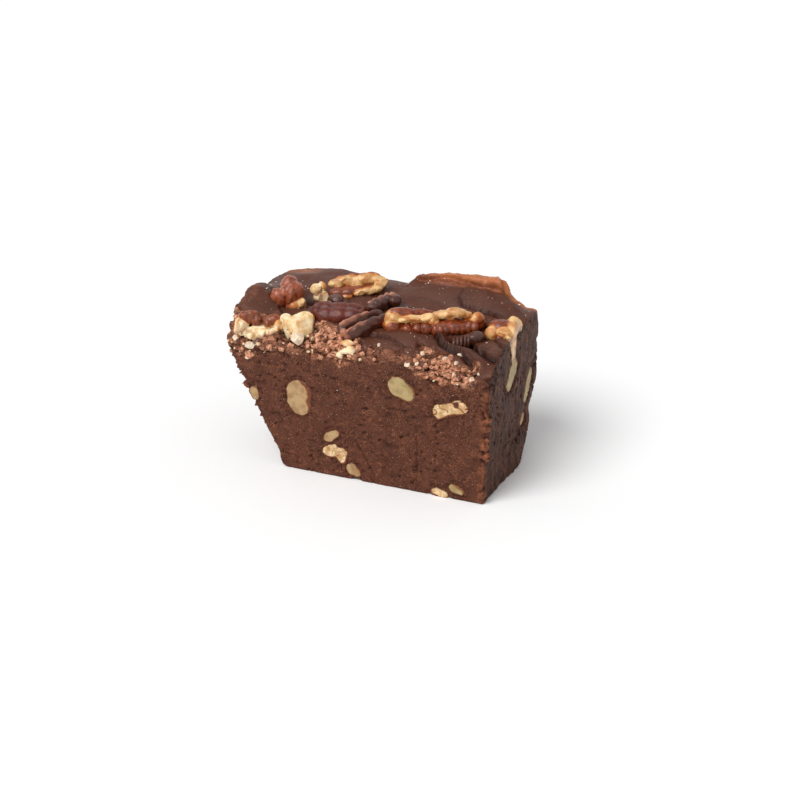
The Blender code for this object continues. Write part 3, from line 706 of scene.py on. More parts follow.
# %% Pecans along the edge
craggy_frame = own_frame("pecan_craggy", 12, 2, (0.2, -1.9, 0.3))
craggy_lobes = [(MEAT, (-5.0, 0.2, 0.6), (2.3, 2.5, 2.4)), (SKIN, (-3.6, 1.3, 2.8), (1.9, 1.7, 1.8)),
                (SKIN, (-1.8, 1.2, 3.7), (2.2, 1.5, 1.5)), (SKIN, (-0.3, 0.7, 2.4), (1.3, 1.4, 1.9)),
                (SKIN, (0.2, 2.2, 1.0), (2.8, 1.3, 2.2)), (SKIN, (3.2, 0.2, 1.5), (1.1, 1.2, 1.3)),
                (SKIN, (4.4, 1.9, 2.1), (2.5, 1.7, 1.8)), (MEAT, (-1.8, 0.0, -1.6), (2.0, 2.2, 2.2)),
                (MEAT, (-0.7, -0.6, -3.8), (1.0, 1.4, 1.6)), (MEAT, (1.5, 0.2, -1.6), (2.0, 2.1, 1.7)),
                (MEAT, (4.0, 0.3, -1.6), (2.2, 2.2, 2.6)), (MEAT, (5.3, -0.3, -3.7), (1.7, 1.7, 1.9)),
                (TAN, (6.2, 0.8, 0.2), (1.2, 1.9, 2.2)), (MEAT, (0.6, 0.5, -1.4), (5.8, 1.8, 2.2))]
grow("pecan_craggy", "pecan_meat", pecan_meat, craggy_frame, craggy_lobes, cell=0.25, crag=0.42, seed=10,
     softening=3)

wedge_frame = own_frame("pecan_wedge", 17, 0, (0.2, -0.5, 0.3))
wedge_lobes = [(MEAT, (1.0, 0.8, 0.8), (4.4, 3.6, 4.6)), (AMBER, (-3.8, 1.6, 1.2), (1.9, 1.9, 2.8)),
               (MEAT, (-3.0, 0.0, -2.2), (2.2, 1.9, 1.5)), (MEAT, (3.2, -0.4, -3.2), (1.2, 1.6, 2.6))]
wedge_breaks = (((0.9, -1.9, -0.4), (0.45, -0.85, 0.35)), ((0.0, 0.0, 3.1), (-0.1, -0.25, 1.0)),
                ((4.2, 0.0, 0.0), (0.97, -0.2, 0.10)), ((-1.0, -1.8, 0.0), (-0.62, -0.75, -0.05)))
grow("pecan_wedge", "pecan_meat", pecan_meat, wedge_frame, wedge_lobes, wedge_breaks, cell=0.24,
     wrinkle=0.12, crag=0.07, seed=11, softening=2, warp=0.12)

knuckle_frame = own_frame("pecan_knuckle", 8, 0)
knuckle_lobes = [(MEAT, (-1.9, 0.1, -1.7), (1.1, 1.0, 1.2)), (MEAT, (-0.6, 0.0, -0.3), (1.5, 1.1, 0.9)),
                 (MEAT, (1.2, 0.0, 0.2), (1.5, 1.1, 1.0)), (MEAT, (2.3, 0.1, -0.5), (0.9, 1.0, 1.1)),
                 (TAN, (0.4, 0.6, 1.9), (2.0, 0.9, 0.9))]
grow("pecan_knuckle", "pecan_meat", pecan_meat, knuckle_frame, knuckle_lobes, cell=0.18, wrinkle=0.1,
     crag=0.08, seed=12, softening=3)


def inside_right_cut(points):
    """Points held behind the right cut face."""
    wall = right_wall_at(points[:, 2])
    points[:, 0] = np.minimum(points[:, 0], wall + 0.12)
    return points


corner_frame = own_frame("pecan_corner", 17, 2, (-0.1, -2.2, 2.4))
corner_lobes = [(TAN, (-2.3, -0.8, 0.3), (2.0, 2.6, 2.6)), (SKIN, (0.2, 1.6, 1.8), (3.2, 2.6, 1.6)),
                (TAN, (1.4, -1.6, 0.8), (2.2, 1.8, 1.7)), (SKIN, (0.2, -3.0, -0.9), (1.2, 1.1, 1.3)),
                (MEAT, (3.8, 0.6, 0.6), (2.4, 3.2, 2.9)), (MEAT, (3.8, 4.6, 0.2), (2.4, 3.6, 3.2)),
                (MEAT, (3.6, -0.8, -2.8), (2.2, 3.0, 3.2)), (MEAT, (3.7, -0.4, -6.2), (2.0, 2.0, 2.8)),
                (MEAT, (2.6, -3.2, -1.2), (1.6, 1.5, 1.8))]
grow("pecan_corner", "pecan_skin", pecan_skin, corner_frame, corner_lobes, cell=0.25, wrinkle=0.14,
     crag=0.20, seed=13, warp=0.25, limit=inside_right_cut)

# %% [markdown]
# ## Pecans in the cut faces
# The knife sliced these nuts, so their faces are flush with the cut.  They show pale meat, at places
# with a thin line of brown skin round it.  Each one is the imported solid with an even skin, grown
# sideways to touch the fudge, and held flat at the cut.


# %% Sliced nuts
def sliced(name, slot, look, cut, skin_side, skin_share=0.5, crag=0.10, cracks=0.0, seed=0, spread=0.0):
    """A nut that the knife cut: flat at the cut face, with skin on the side that skin_side points to."""
    mesh = melted(merged_copy(name), 0.20, 2)
    points = points_of(mesh)
    normals = normals_of(mesh)
    axis, inward = (1, 1.0) if cut == "front" else (0, -1.0)
    widened = normals.copy()
    widened[:, axis] = 0.0
    points = points + normals * 0.34 + widened * spread
    behind = points[:, 1] - FRONT if cut == "front" else right_wall_at(points[:, 2]) - points[:, 0]
    flat = ease(behind, 0.55, 0.25)
    sideways = points - points.mean(axis=0)
    sideways[:, axis] = 0.0
    outline = points[(behind > 0.35) & (behind < 0.9)].copy()
    outline[:, axis] = 0.0
    flattened = points.copy()
    flattened[:, axis] = 0.0
    tree = KDTree(len(outline))
    for index, spot in enumerate(outline):
        tree.insert(Vector(spot), index)
    tree.balance()
    from_rim = np.array([tree.find(Vector(spot))[2] for spot in flattened])
    reach = np.linalg.norm(sideways, axis=1) + 0.01
    across, up = skin_side
    side = Vector((across, 0.0, up)) if cut == "front" else Vector((0.0, across, up))
    toward = (sideways @ np.array(side)) / reach / max(side.length, 0.01)
    where = points + 40.0 * seed
    width = skin_share * ease(toward + 0.3 * wave_noise(where, 2.0, 41), 0.0, 0.7) + 0.12
    bare = ease(from_rim + 0.25 * wave_noise(where, 0.9, 43, 2), width * 0.6, width * 1.5 + 0.1)
    bare = np.where(flat > 0.5, bare, bare * 0.5)
    near, following, number, tilt = cell_noise(where, 1.5, 47)
    relief = crag * (number - 0.6 + tilt) - crag * ease(following - near, 0.14, 0.0)
    split = ease(np.abs(wave_noise(where * np.array([0.7, 1.0, 1.0]), 2.6, 53)), 0.06, 0.0) * cracks
    relief = relief - 0.5 * split - 0.25 * ease(from_rim, 0.28, 0.0)
    points[:, axis] += np.where(behind < 0.4, -inward * behind, 0.0)
    points[:, axis] += inward * flat * np.clip(-relief, -0.10, 0.8)
    points[:, 2] = np.maximum(points[:, 2], cad_low.z / MM)
    put_points(mesh, points)
    store(mesh, "bare", np.where(split > 0.5, 0.1, bare))
    # How deep each point lies in a hollow, for the painted shade there.
    store(mesh, "hollow_shade", ease(-relief, 0.10, 0.4))
    store(mesh, "smear", ease(from_rim + 0.3 * wave_noise(where, 0.8, 59, 2), 0.45, 0.05) * 0.8)
    nut_pieces.append(finished(mesh, name, look, slot, name))


sliced("inset_oval", "pecan_meat", sliced_meat, "front", (1.0, 0.25), 1.3, 0.06, seed=21)
sliced("inset_green", "green_meat", green_meat, "front", (0.8, -0.6), 0.4, 0.05, seed=22)
sliced("inset_cracked", "pecan_meat", crumbly_meat, "front", (0.2, -1.0), 0.45, 0.14, 0.8, seed=23)
sliced("inset_leaf", "pecan_meat", sliced_meat, "front", (1.0, 0.0), 0.25, 0.08, seed=24)
sliced("inset_cluster", "pecan_meat", crumbly_meat, "front", (0.3, -0.6), 0.45, 0.24, 0.5, seed=25)
sliced("inset_drop", "pecan_meat", sliced_meat, "front", (0.8, -0.4), 0.45, 0.08, seed=26)
sliced("inset_foot", "pecan_meat", crumbly_meat, "front", (-0.6, -0.6), 0.7, 0.18, 0.3, seed=27)
sliced("inset_seed", "pecan_meat", green_meat, "front", (0.8, 0.5), 0.5, 0.06, seed=28)
sliced("inset_edge", "pecan_meat", sliced_meat, "front", (-1.0, 0.0), 0.2, 0.06, seed=29)
sliced("inset_side_long", "green_meat", green_meat, "right", (1.0, 0.0), 0.3, 0.08, seed=30, spread=0.8)
sliced("inset_side_back", "green_meat", green_meat, "right", (-1.0, 0.0), 0.3, 0.08, seed=31, spread=0.5)
sliced("inset_side_low", "pecan_meat", sliced_meat, "right", (-1.0, 0.0), 0.3, 0.08, seed=32)

# %% [markdown]
# ## The block of fudge: its surface
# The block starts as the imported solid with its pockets.  Where each point lies says what made the
# surface there.  The front and right faces were cut: they are flat, with small pits, torn spots and
# faint lines that the knife left.  The band above the front cut crumbled: it is cracked into small
# lumps.  The top was poured: it has soft folds, and a crease runs along the foot of the lip.  The
# walls that the tin shaped are smoother, with shallow dimples.  The underside stays flat.

# %% Fudge relief
FUDGE_CELL = 0.36

fudge_mesh = melted(merged_copy("fudge_block"), FUDGE_CELL, 1)
spots = points_of(fudge_mesh)
facing = normals_of(fudge_mesh)
print("fudge skin:", len(spots), "points")

depth = spots[:, 1] - FRONT
side_depth = right_wall_at(spots[:, 2]) - spots[:, 0]
height = spots[:, 2]


def edge_heights(across, up, chosen, step=1.5):
    """The upper end of a cut face at each place across it, from the points that lie on it."""
    rows = np.round(across / step).astype(int)
    best = {}
    for row, level in zip(rows[chosen], up[chosen]):
        best[row] = max(level, best.get(row, -1.0))
    known = sorted(best)
    return np.interp(across / step, known, [best[row] for row in known])


front_edge = edge_heights(spots[:, 0], height, depth < 0.5)

on_front = ease(depth, 1.2, 0.4) * ease(-facing[:, 1], 0.6, 0.9)
on_right = ease(side_depth, 1.4, 0.5) * ease(facing[:, 0], 0.6, 0.9)
on_cut = np.maximum(on_front, on_right)
underside = ease(-facing[:, 2], 0.6, 0.9) * ease(height, 1.5, 0.5)
raised = ease(height, 33.0, 36.0)
from_left = spots[:, 0] - fudge_low[0]


def stretch_of(start, end, soft=2.0):
    """1 between two distances from the left end of the block, soft outside."""
    return ease(from_left, start - soft, start) * ease(from_left, end + soft, end)


# Where the edge crumbled: from, to, how far back it reaches, and how strongly the edge broke there.
CRUMBLED_STRETCHES = ((0.0, 27.0, 8.0, 0.70), (28.0, 41.0, 8.0, 1.0), (42.0, 59.0, 2.4, 0.62),
                      (60.0, 68.0, 5.6, 1.0), (68.0, 77.0, 3.2, 0.95))
waver = 1.3 * wave_noise(spots, 4.0, 5, 2)
crumbled = np.zeros(len(spots))
pink = np.zeros(len(spots))
reach_down = np.zeros(len(spots))
for start, end, reach, strong in CRUMBLED_STRETCHES:
    along = stretch_of(start, end)
    patch = along * ease(depth + waver, reach + 1.0, reach - 1.0)
    crumbled = np.maximum(crumbled, strong * patch)
    pink = np.maximum(pink, along * strong ** 3)
    reach_down = np.maximum(reach_down, along * (1.2 + 2.6 * strong))
upper_edge = raised * (1.0 - on_front) * ease(facing[:, 2], -0.3, 0.1)
crumbled *= upper_edge
below_edge = on_front * ease(front_edge - height + 0.8 * waver, reach_down + 0.8, reach_down * 0.35)
crumbled = np.maximum(crumbled, below_edge * (0.45 + 0.5 * pink))
dusted = on_front * ease(front_edge - height + 1.5 * waver, 10.0, 1.0)
upright_edge = ease(np.hypot(np.abs(depth), np.abs(side_depth)) + 0.5 * waver, 2.4, 0.9)
upright_edge *= 0.45 + 0.55 * ease(wave_noise(spots, 4.0, 15), -0.2, 0.3) * ease(height, 4.0, 14.0)
left_edge = ease(depth + 0.4 * waver, 3.2, 1.0) * ease(-facing[:, 0], 0.2, 0.6) * ease(height, 4.0, 12.0)
left_top = ease(from_left, 8.0, 3.0) * raised * ease(depth, 22.0, 12.0) * ease(-facing[:, 0], -0.1, 0.5)
flaked = np.clip(np.maximum(np.maximum(upright_edge, left_edge), 0.8 * left_top), 0, 1)
poured = ease(facing[:, 2], 0.35, 0.7) * raised * (1.0 - crumbled)
walled = np.clip(1.0 - on_cut - poured - crumbled - underside - flaked, 0, 1)

# Relief in mm along the normal.
layered = spots * np.array([0.8, 1.0, 1.35]) + 0.25 * waver[:, None]
lump_near, lump_next, lump_number, lump_tilt = cell_noise(layered, 2.9, 21)
_, _, small_number, small_tilt = cell_noise(spots, 1.05, 31)
lumps = 1.6 * (lump_number - 0.60) + 2.0 * lump_tilt - 0.7 * ease(lump_next - lump_near, 0.14, 0.0)
lumps += 0.16 * (small_number - 0.5) + 0.30 * small_tilt
pit_near, _, pit_number, _ = cell_noise(spots, 2.1, 41)
pits = -0.55 * ease(pit_near + 0.12 * waver, 0.34, 0.10) * (pit_number > 0.62)
torn = ease(wave_noise(spots * np.array([0.6, 1.0, 1.6]), 1.6, 51, 2), 0.22, 0.50)
tears = -0.42 * torn * ease(wave_noise(spots, 9.0, 57), -0.2, 0.2)
worms = ease(np.abs(wave_noise(spots * np.array([1.0, 1.0, 0.8]), 2.4, 63)), 0.09, 0.0)
worms *= ease(wave_noise(spots, 6.0, 69), -0.15, 0.2)
cut_relief = 0.13 * wave_noise(spots, 1.2, 61, 2) + pits + tears - 0.28 * worms
upright = spots * np.array([1.0, 1.0, 0.25])
side_relief = 0.22 * wave_noise(upright, 1.6, 65, 2) + 1.3 * pits + 0.3 * wave_noise(spots, 4.0, 67)
side_relief += 1.6 * tears
folds = 0.75 * wave_noise(spots * np.array([0.8, 1.4, 1.0]), 10.0, 71, 2)
warp = wave_noise(spots, 13.0, 81)
ripple = np.sin((spots[:, 0] * 0.30 + spots[:, 1] * 1.0) * 0.62 + 3.4 * warp)
folds += 0.34 * ripple * ease(wave_noise(spots, 15.0, 91), -0.3, 0.3)
wall_relief = 0.25 * wave_noise(spots, 5.0, 101, 3) + 0.6 * pits


def beside(path):
    """Distance from each point to a path over the top, and on which side of it the point lies."""
    away = np.full(len(spots), 99.0)
    side = np.zeros(len(spots))
    for start, end in zip(path, path[1:]):
        start, along = np.array(start), np.array(end) - np.array(start)
        to_spot = spots[:, :2] - home[:2] - start
        share = np.clip(to_spot @ along / (along @ along), 0.0, 1.0)
        gap = np.linalg.norm(to_spot - share[:, None] * along, axis=1)
        turn = along[0] * to_spot[:, 1] - along[1] * to_spot[:, 0]
        side = np.where(gap < away, np.sign(turn), side)
        away = np.minimum(away, gap)
    return away, side


# Folds where poured fudge lapped over itself: a path over the top, its depth and its raised side.
LAPS = ((((-41.0, 2.0), (-36.0, -2.0), (-31.5, -6.5), (-28.0, -10.5)), 0.6, -1),
        (((-15.0, 0.8), (-7.0, 5.0), (1.0, 8.9), (8.0, 8.6), (14.7, 6.4)), 0.7, -1),
        (((19.7, 17.0), (19.7, 10.4), (22.0, 7.0), (27.8, 5.5), (33.0, 6.5)), 0.7, 1),
        (((29.0, 19.0), (33.3, 14.8), (36.2, 12.3), (40.0, 9.5)), 1.2, -1),
        (((21.0, -10.4), (23.4, -13.2), (29.4, -15.1), (35.3, -18.6)), 1.9, 1),
        (((32.4, -10.8), (37.5, -14.9), (40.0, -15.6)), 1.2, 1),
        (((36.0, -2.0), (38.0, -8.0), (40.4, -10.5)), 0.8, 1),
        (((-0.7, -15.4), (4.2, -14.4), (10.1, -16.5), (14.0, -18.2)), 0.6, 1))
# shaded marks where the top gets painted shade: in the creases under the laps and in the sunken places.
shaded = np.zeros(len(spots))
for path, deep, raised_side in LAPS:
    away, side = beside(path)
    away = away + 0.5 * wave_noise(spots, 3.0, 131)
    lap = np.where(side == raised_side, np.exp(-((away / 2.2) ** 2)), -0.6 * np.exp(-((away / 0.9) ** 2)))
    folds += deep * lap
    under = np.where(side == raised_side, 0.35, 1.0) * np.exp(-((away / 0.8) ** 2))
    shaded = np.maximum(shaded, np.clip(deep, 0.0, 1.0) * under)
# Sunken places between the nuts: across, back, half width and depth.
HOLLOWS = ((-23.4, -1.8, 1.9, 2.2), (32.2, -6.2, 2.2, 2.6), (26.6, -10.6, 2.4, 2.0), (31.0, -10.4, 2.2, 1.6),
           (35.4, -12.6, 2.2, 1.4), (-30.6, -8.6, 2.5, 0.8), (24.3, -18.0, 1.2, 0.9), (-16.0, -9.4, 1.6, 1.0))
# Mounds of the poured top, written the same way.
MOUNDS = ((12.0, -15.8, 5.5, 1.0), (31.5, -15.2, 3.0, 0.8), (-7.0, 8.0, 6.0, 0.5))
for across, back, wide, deep in HOLLOWS:
    away = np.hypot(spots[:, 0] - home[0] - across, spots[:, 1] - home[1] - back)
    folds -= deep * np.exp(-((away / wide) ** 2))
    shaded = np.maximum(shaded, min(deep, 2.2) / 2.4 * np.exp(-((away / wide / 0.8) ** 2)))
for across, back, wide, high in MOUNDS:
    away = np.hypot(spots[:, 0] - home[0] - across, spots[:, 1] - home[1] - back)
    folds += high * np.exp(-((away / wide) ** 2))

relief = poured * folds + walled * wall_relief
relief += (1.0 - crumbled) * (on_front * cut_relief + on_right * (1.0 - on_front) * side_relief)
relief += crumbled * lumps + flaked * (0.9 * lumps + 0.15) * (1.0 - crumbled)

# Lines that the knife left: from the left end, from height, to height, lean, depth.
KNIFE_LINES = ((27.4, 30.0, 40.0, 0.0, 0.36), (60.4, 3.0, 22.0, -0.01, 0.48), (61.8, 6.0, 21.0, -0.01, 0.22),
               (44.6, 1.0, 13.5, -0.58, 0.50), (49.5, 26.0, 37.0, 0.05, 0.14), (72.0, 8.0, 24.0, 0.03, 0.14),
               (17.0, 8.0, 20.0, -0.1, 0.14))
for across, start, end, lean, deep in KNIFE_LINES:
    off_line = from_left - across - lean * (height - (start + end) / 2)
    along_line = ease(height, start, start + 2.0) * ease(height, end, end - 2.0)
    relief -= on_front * deep * np.exp(-((off_line / 0.38) ** 2)) * along_line

# The crease along the foot of the lip, and the thin amber rims of the lip and of both back corners.
CREASE_FROM_BACK = 5.4
CREASE_WIDE = 0.55
CREASE_DEEP = 0.9
from_back = fudge_high[1] - spots[:, 1]
from_home = spots[:, 0] - home[0]
off_crease = from_back - CREASE_FROM_BACK - 0.5 * wave_noise(spots, 6.0, 111)
crease = np.exp(-((off_crease / CREASE_WIDE) ** 2))
crease *= ease(from_home, 0.0, 3.0) * ease(from_home, 34.0, 31.0) * ease(facing[:, 2], 0.1, 0.4)
relief -= CREASE_DEEP * crease
lip = ease(height, 48.7, 49.5) * ease(from_back, 7.0, 6.0)
rim_right = ease(from_home, 27.0, 30.0) * ease(height, 43.4, 44.8) * ease(from_back, 6.5, 3.8)
rim_left = ease(from_home, -26.0, -32.0) * ease(height, 44.0, 45.5) * ease(from_back, 9.0, 5.0)
amber = np.clip(np.maximum(rim_right, np.maximum(0.45 * rim_left, lip * ease(height, 50.4, 51.8))), 0, 1)
relief += 0.35 * np.maximum(lip, amber) * wave_noise(spots, 1.8, 121, 2)
relief *= 1.0 - underside

# %% [markdown]
# ## Fudge that clings to the nuts
# Poured fudge wets the nuts.  Every point of the skin in or near a nut's pocket that is not yet
# covered moves on to the nearest nut, so no gap is left round the nuts.

# %% Cling
nut_bm = bmesh.new()
for piece in nut_pieces:
    nut_bm.from_mesh(piece.data)
nut_tree = BVHTree.FromBMesh(nut_bm)
nut_bm.free()
CLING_REACH = 1.25
FULL_CLING = 0.75                  # nearer than this, fudge moves the whole way to the nut
moved = spots + facing * relief[:, None]
pulled = 0
for index, spot in enumerate(moved):
    place, normal, _, away = nut_tree.find_nearest(Vector(spot) * MM, CLING_REACH * MM)
    if place is None:
        continue
    outside = (Vector(spot) * MM - place).dot(normal) > 0.0
    if outside:
        away /= MM
        pull = ease(np.array([away]), CLING_REACH, FULL_CLING)[0]
        moved[index] = spot + (np.array(place) / MM - spot) * pull * 1.04
        pulled += 1
    elif on_cut[index] > 0.5:
        # A point of a cut face inside a sliced nut sinks, so the nut's own face shows.
        moved[index] = spot - facing[index] * 0.5
print(pulled, "points of the fudge cling to nuts")
kept_front = on_front * (1.0 - crumbled) > 0.5
moved[kept_front, 1] = np.maximum(moved[kept_front, 1], FRONT - 0.05)

# The left end of the top swells up a little.
SWELL_AT = (-39.5, -5.0)
SWELL_REACH = 5.6
SWELL_HIGH = 2.5
off_swell = np.hypot(moved[:, 0] - home[0] - SWELL_AT[0], (moved[:, 1] - home[1] - SWELL_AT[1]) * 0.75)
swell = np.exp(-((off_swell / SWELL_REACH) ** 2))
moved[:, 2] += SWELL_HIGH * swell * ease(moved[:, 2], 34.0, 45.0)

put_points(fudge_mesh, moved)
# Among these, the hollows and the shaded creases are kept for painted shade.
for name, values in (("crumbled", crumbled), ("poured", poured), ("lip", lip), ("amber", amber),
                     ("flaked", flaked), ("on_right", on_right), ("pink", pink), ("dusted", dusted),
                     ("hollow_shade", ease(-relief, 0.15, 0.75)), ("shaded", shaded),
                     ("lump", lump_number * 0.45 + small_number * 0.55)):
    store(fudge_mesh, name, values)

# %% [markdown]
# ## The block of fudge: its finish
# Cut fudge is matt brown with fine swirls where the sugar set, pores darkened with painted shade, pale
# sugar grains and tiny flakes.  The crumbled band is lighter and pinker, because its broken sugar
# scatters the light.  The poured top is darker and has a satin sheen, and the thin rim of the lip lets
# light through, and that light is painted in as orange-brown.  Hollows and creases get painted shade.
# The right cut is painted darker as painted shade, since it faces away from the light, and it has
# upright smears from the knife.


# %% Fudge finish
def fudge_finish():
    look = Finish("fudge")
    crumb, satin, lip_share, amber_share = (look.grain(name) for name in ("crumbled", "poured", "lip", "amber"))
    flake, hollow_shade, lump, side = (look.grain(name) for name in ("flaked", "hollow_shade", "lump", "on_right"))
    pink_share, dust = look.grain("pink"), look.grain("dusted")
    matt = 1.0 - satin
    shade = look.noise(7.0 * MM, 4.0, 0.6).ramp(0.30, 0.70)
    swirl = look.noise(1.5 * MM, 5.0, 0.66, 1.8).ramp(0.34, 0.66)
    sand = look.noise(0.42 * MM, 3.0, 0.7, 0.6).ramp(0.36, 0.64)
    colour = look.mix(shade, (0.074, 0.0200, 0.0090), (0.120, 0.0365, 0.0180))
    colour = look.mix(swirl * 0.45, colour, (0.155, 0.0530, 0.0290))
    colour = look.mix(sand * 0.40, colour, (0.050, 0.0130, 0.0060))
    # The right cut face is painted darker, as painted shade, with upright knife smears in that darker colour.
    smear = look.noise(1.3 * MM, 4.0, 0.6, stretch=(1.0, 1.0, 0.22)).ramp(0.36, 0.64)
    right_face_smears_and_shade = look.mix(smear, (0.022, 0.0050, 0.0020), (0.088, 0.0300, 0.0150))
    colour = look.mix(side * 0.9, colour, right_face_smears_and_shade)
    smooth_top = look.mix(swirl * 0.6, (0.070, 0.0205, 0.0105), (0.108, 0.0350, 0.0190))
    smooth_top = look.mix(shade * 0.4, smooth_top, (0.125, 0.0430, 0.0240))
    colour = look.mix(satin, colour, smooth_top)
    # Fine pale flakes and pores darkened with painted shade in the cut faces, more flakes close under the
    # crumbled edge.
    flecks = has(look.cells(0.62 * MM, stretch=(1.0, 1.0, 1.6)), 0.16, 0.32)
    chance = (look.noise(2.0 * MM, 2.0).ramp(0.44, 0.58) * 0.8 + dust * 0.7).within()
    colour = look.mix(flecks * chance * matt * 0.85, colour, (0.40, 0.175, 0.095))
    meander = look.noise(1.6 * MM, 1.0, 0.5, 1.2) - 0.5
    dashes = has(meander * meander, 0.0002, 0.0012)
    dashes = dashes * look.noise(3.0 * MM, 2.0).ramp(0.50, 0.60) * matt
    colour = look.mix(dashes * 0.6, colour, (0.30, 0.105, 0.048))
    shaded_pores = has(look.cells(0.72 * MM, stretch=(1.0, 1.0, 0.8)), 0.16, 0.30)
    shaded_pores = shaded_pores * look.noise(2.6 * MM, 2.0).ramp(0.46, 0.56) * matt
    # Painted shade in the pores.
    colour = look.mix(shaded_pores * 0.85, colour, (0.016, 0.0045, 0.0022))
    scuffs = look.noise(1.1 * MM, 5.0, 0.75, 2.5).ramp(0.52, 0.64) * look.noise(5.0 * MM, 2.0).ramp(0.42, 0.60)
    colour = look.mix(scuffs * matt * (1.0 - side) * 0.45, colour, (0.240, 0.085, 0.042))
    sugar = has(look.cells(1.05 * MM), 0.06, 0.11) * look.noise(1.9 * MM).ramp(0.42, 0.54)
    colour = look.mix(sugar * 0.85, colour, (0.66, 0.50, 0.38))
    # The crumbled band, its cracks darkened with painted shade, and its pale dust.
    broken = look.mix(lump.ramp(0.2, 0.8), (0.125, 0.040, 0.020), (0.340, 0.128, 0.068))
    dusty = look.mix(lump.ramp(0.15, 0.75), (0.360, 0.128, 0.060), (0.84, 0.385, 0.220))
    broken = look.mix(pink_share, broken, dusty)
    broken = look.mix(look.noise(0.6 * MM, 3.0).ramp(0.46, 0.70) * 0.5, broken, (0.55, 0.26, 0.16))
    chips = look.cells(2.1 * MM, "DISTANCE_TO_EDGE", stretch=(0.8, 1.0, 1.5))
    cracks = has(chips, 0.01, 0.06)
    # Painted shade in the cracks.
    broken = look.mix(cracks * 0.65, broken, (0.030, 0.0085, 0.0045))
    colour = look.mix((crumb * 1.5 - 0.25).within(), colour, broken)
    flaky = look.mix(lump.ramp(0.2, 0.8), (0.085, 0.021, 0.009), (0.42, 0.140, 0.062))
    torn = look.noise(0.9 * MM, 3.0, 0.6).ramp(0.40, 0.60)
    flaky = look.mix(torn * 0.5, flaky, (0.060, 0.015, 0.007))
    colour = look.mix(flake * (1.0 - crumb) * 0.9, colour, flaky)
    # Painted shade: the hollows of the matt faces darken, and so do the creases and sunken places of the top.
    colour = look.mix(hollow_shade * matt * 0.65, colour, (0.022, 0.0060, 0.0030))
    colour = look.mix((look.grain("shaded") * satin).within(), colour, (0.017, 0.0048, 0.0024))
    # Painted light: the orange-brown lip and the amber rims stand for light that shines through thin fudge.
    ruddy = look.mix(swirl, (0.160, 0.045, 0.019), (0.300, 0.095, 0.044))
    colour = look.mix(lip_share * 0.85, colour, ruddy)
    glow = look.mix(look.noise(1.4 * MM, 3.0), (0.28, 0.072, 0.022), (0.62, 0.215, 0.078))
    colour = look.mix(amber_share, colour, glow)
    fine = look.noise(0.36 * MM, 4.0, 0.65)
    relief = fine * (1.0 - satin * 0.85) * (1.0 - crumb * 0.6) + swirl * 0.4 * matt - shaded_pores * 1.5
    relief = relief + flecks * chance * matt * 0.5 - cracks * crumb * 2.0
    gloss = 0.62 - satin * 0.17 + crumb * 0.2 - amber_share * 0.1 + (fine - 0.5) * 0.25
    return look.surface(colour, gloss.within(), relief, 0.20 * MM, Specular_IOR_Level=0.20)


finished(fudge_mesh, "fudge", fudge_finish(), "fudge", "fudge_block")

# %% [markdown]
# ## Loose crumbs, chips of nut and grains of sugar
# Broken fudge leaves small angular crumbs along the edge.  Chips of white pecan lie among them, and
# coarse grains of sugar lie over the top.  Each kind is one joined piece.  A crumb or a chip is an
# uneven plate with five to seven corners, and a grain is a small faceted ball.  Each one lies on a
# point of the fudge with its flat side down.

# %% Small bits
skin_points = points_of(fudge_mesh)
skin_normals = normals_of(fudge_mesh)
dice = np.random.default_rng(7)


def scatter(name, slot, look, places, sizes, flatness, sink, plates=True, roughness=0.2):
    """One piece of many bits: a size in mm at each chosen point of the fudge."""
    bm = bmesh.new()
    for index, size in zip(places, sizes):
        normal = Vector(skin_normals[index])
        wide = size * dice.uniform(0.55, 1.0)
        radii = Vector((size, wide, max(size * flatness * dice.uniform(0.7, 1.3), 0.12))) * 0.5 * MM
        spin = Matrix.Rotation(dice.uniform(0.0, 2.0 * math.pi), 4, "Z")
        lean = Matrix.Rotation(dice.normal(0.0, 0.42), 4, "X")
        stand = normal.to_track_quat("Z", "Y").to_matrix().to_4x4()
        centre = Vector(skin_points[index]) * MM + normal * (radii.z * (1.0 - sink))
        matrix = Matrix.Translation(centre) @ stand @ lean @ spin @ Matrix.Diagonal((*radii, 1.0))
        if plates:
            made = bmesh.ops.create_cone(bm, cap_ends=True, cap_tris=True, segments=int(dice.integers(5, 8)),
                                         radius1=1.0, radius2=dice.uniform(0.5, 0.9), depth=2.0)
        else:
            made = bmesh.ops.create_icosphere(bm, subdivisions=1, radius=1.0)
        for vert in made["verts"]:
            throw = Vector(dice.uniform(1.0 - roughness, 1.0 + roughness, 3))
            vert.co = matrix @ (vert.co * throw)
    for vert in bm.verts:
        vert.co = Vector(min(max(vert.co[axis], cad_low[axis]), cad_high[axis]) for axis in range(3))
    mesh = bpy.data.meshes.new(name)
    bm.to_mesh(mesh)
    bm.free()
    finished(mesh, name, look, slot)
    mesh.shade_flat()


def pick(weights, count):
    """Points chosen by weight, none of them twice."""
    return dice.choice(len(weights), size=count, replace=False, p=weights / weights.sum())


def plain_finish(name, first, second, rough):
    """A finish that mixes two colours from bit to bit and within each."""
    look = Finish(name)
    tone = look.noise(1.1 * MM, 3.0, 0.7).ramp(0.32, 0.68)
    fine = look.noise(0.3 * MM, 3.0, 0.6)
    return look.surface(look.mix(tone, first, second), (rough + (fine - 0.5) * 0.3).within(), fine, 0.06 * MM)


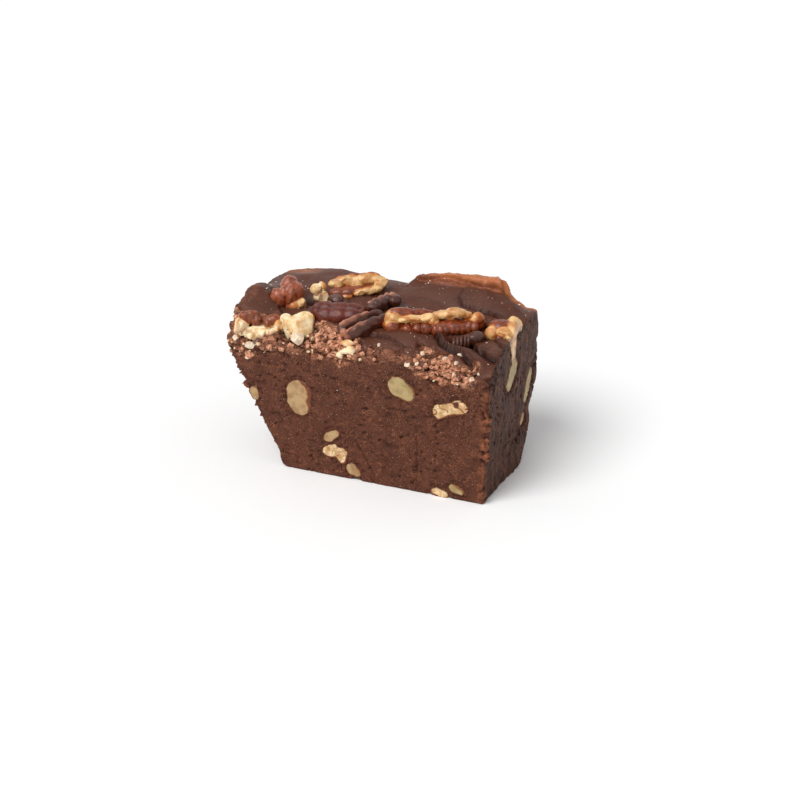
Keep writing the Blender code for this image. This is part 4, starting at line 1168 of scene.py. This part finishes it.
nut_gap = np.array([nut_tree.find_nearest(Vector(spot) * MM)[3] / MM for spot in skin_points])
open_spots = (nut_gap > 0.25) & (skin_points[:, 2] > 30.0)
edge_weight = crumbled ** 2 * (0.35 + 0.65 * pink) * open_spots
CRUMB_COUNT = 150
scatter("crumbs", "fudge", plain_finish("crumb", (0.20, 0.066, 0.032), (0.80, 0.38, 0.22), 0.75),
        pick(edge_weight, CRUMB_COUNT), 1.0 + 2.2 * dice.random(CRUMB_COUNT) ** 1.4, 0.26, 0.3, True, 0.3)
DARK_COUNT = 110
dark_weight = (crumbled * (1.0 - 0.8 * pink) + 0.15 * flaked * (height > 20.0)) * open_spots
scatter("dark_crumbs", "fudge", plain_finish("dark_crumb", (0.070, 0.020, 0.010), (0.17, 0.058, 0.032), 0.6),
        pick(dark_weight, DARK_COUNT), 0.5 + 1.9 * dice.random(DARK_COUNT) ** 1.5, 0.35, 0.3, True, 0.3)
CHIP_COUNT = 60
left_share = 0.3 + 1.6 * stretch_of(2.0, 28.0)
chip_weight = crumbled * open_spots * left_share
scatter("nut_chips", "pecan_meat", plain_finish("nut_chip", (0.64, 0.42, 0.22), (0.92, 0.76, 0.54), 0.55),
        pick(chip_weight, CHIP_COUNT), 0.35 + 1.3 * dice.random(CHIP_COUNT) ** 2.5, 0.45, 0.2, True, 0.3)
# The chips that stand out: place and length in mm.
MARKED_CHIPS = (((-18.3, -19.9, 41.2), 5.4), ((-38.6, -18.4, 39.4), 2.2), ((-38.2, -19.6, 38.2), 2.4),
                ((-32.8, -20.6, 37.4), 3.0), ((-33.7, -21.6, 33.4), 1.6), ((6.8, -18.3, 42.7), 1.5),
                ((16.4, -21.2, 40.0), 2.2), ((19.0, -20.9, 39.8), 1.8), ((19.6, -18.4, 41.8), 1.7),
                ((26.2, -17.0, 42.0), 2.4), ((29.9, -18.4, 41.0), 1.4), ((29.8, -20.9, 38.6), 1.7),
                ((25.2, -10.1, 42.3), 1.5), ((29.8, -15.3, 42.4), 1.7), ((36.8, -20.0, 39.6), 1.0),
                ((35.6, -21.5, 37.9), 2.0))
chip_finish = plain_finish("marked_chip", (0.66, 0.46, 0.28), (0.92, 0.80, 0.62), 0.45)
nearest = [int(np.argmin(np.linalg.norm(skin_points - home - np.array(place), axis=1)))
           for place, _ in MARKED_CHIPS]
scatter("marked_chips", "pecan_meat", chip_finish, nearest, [length for _, length in MARKED_CHIPS], 0.35, 0.3,
        True, 0.22)
GRAIN_COUNT = 100
grain_weight = (poured * (nut_gap > 0.5) * (height > 36.0) + 0.05 * on_front * (height > 25.0))
scatter("sugar_grains", None, plain_finish("sugar_grain", (0.80, 0.72, 0.62), (0.95, 0.92, 0.88), 0.4),
        pick(grain_weight, GRAIN_COUNT), 0.22 + 0.4 * dice.random(GRAIN_COUNT) ** 3, 0.8, 0.2, False)
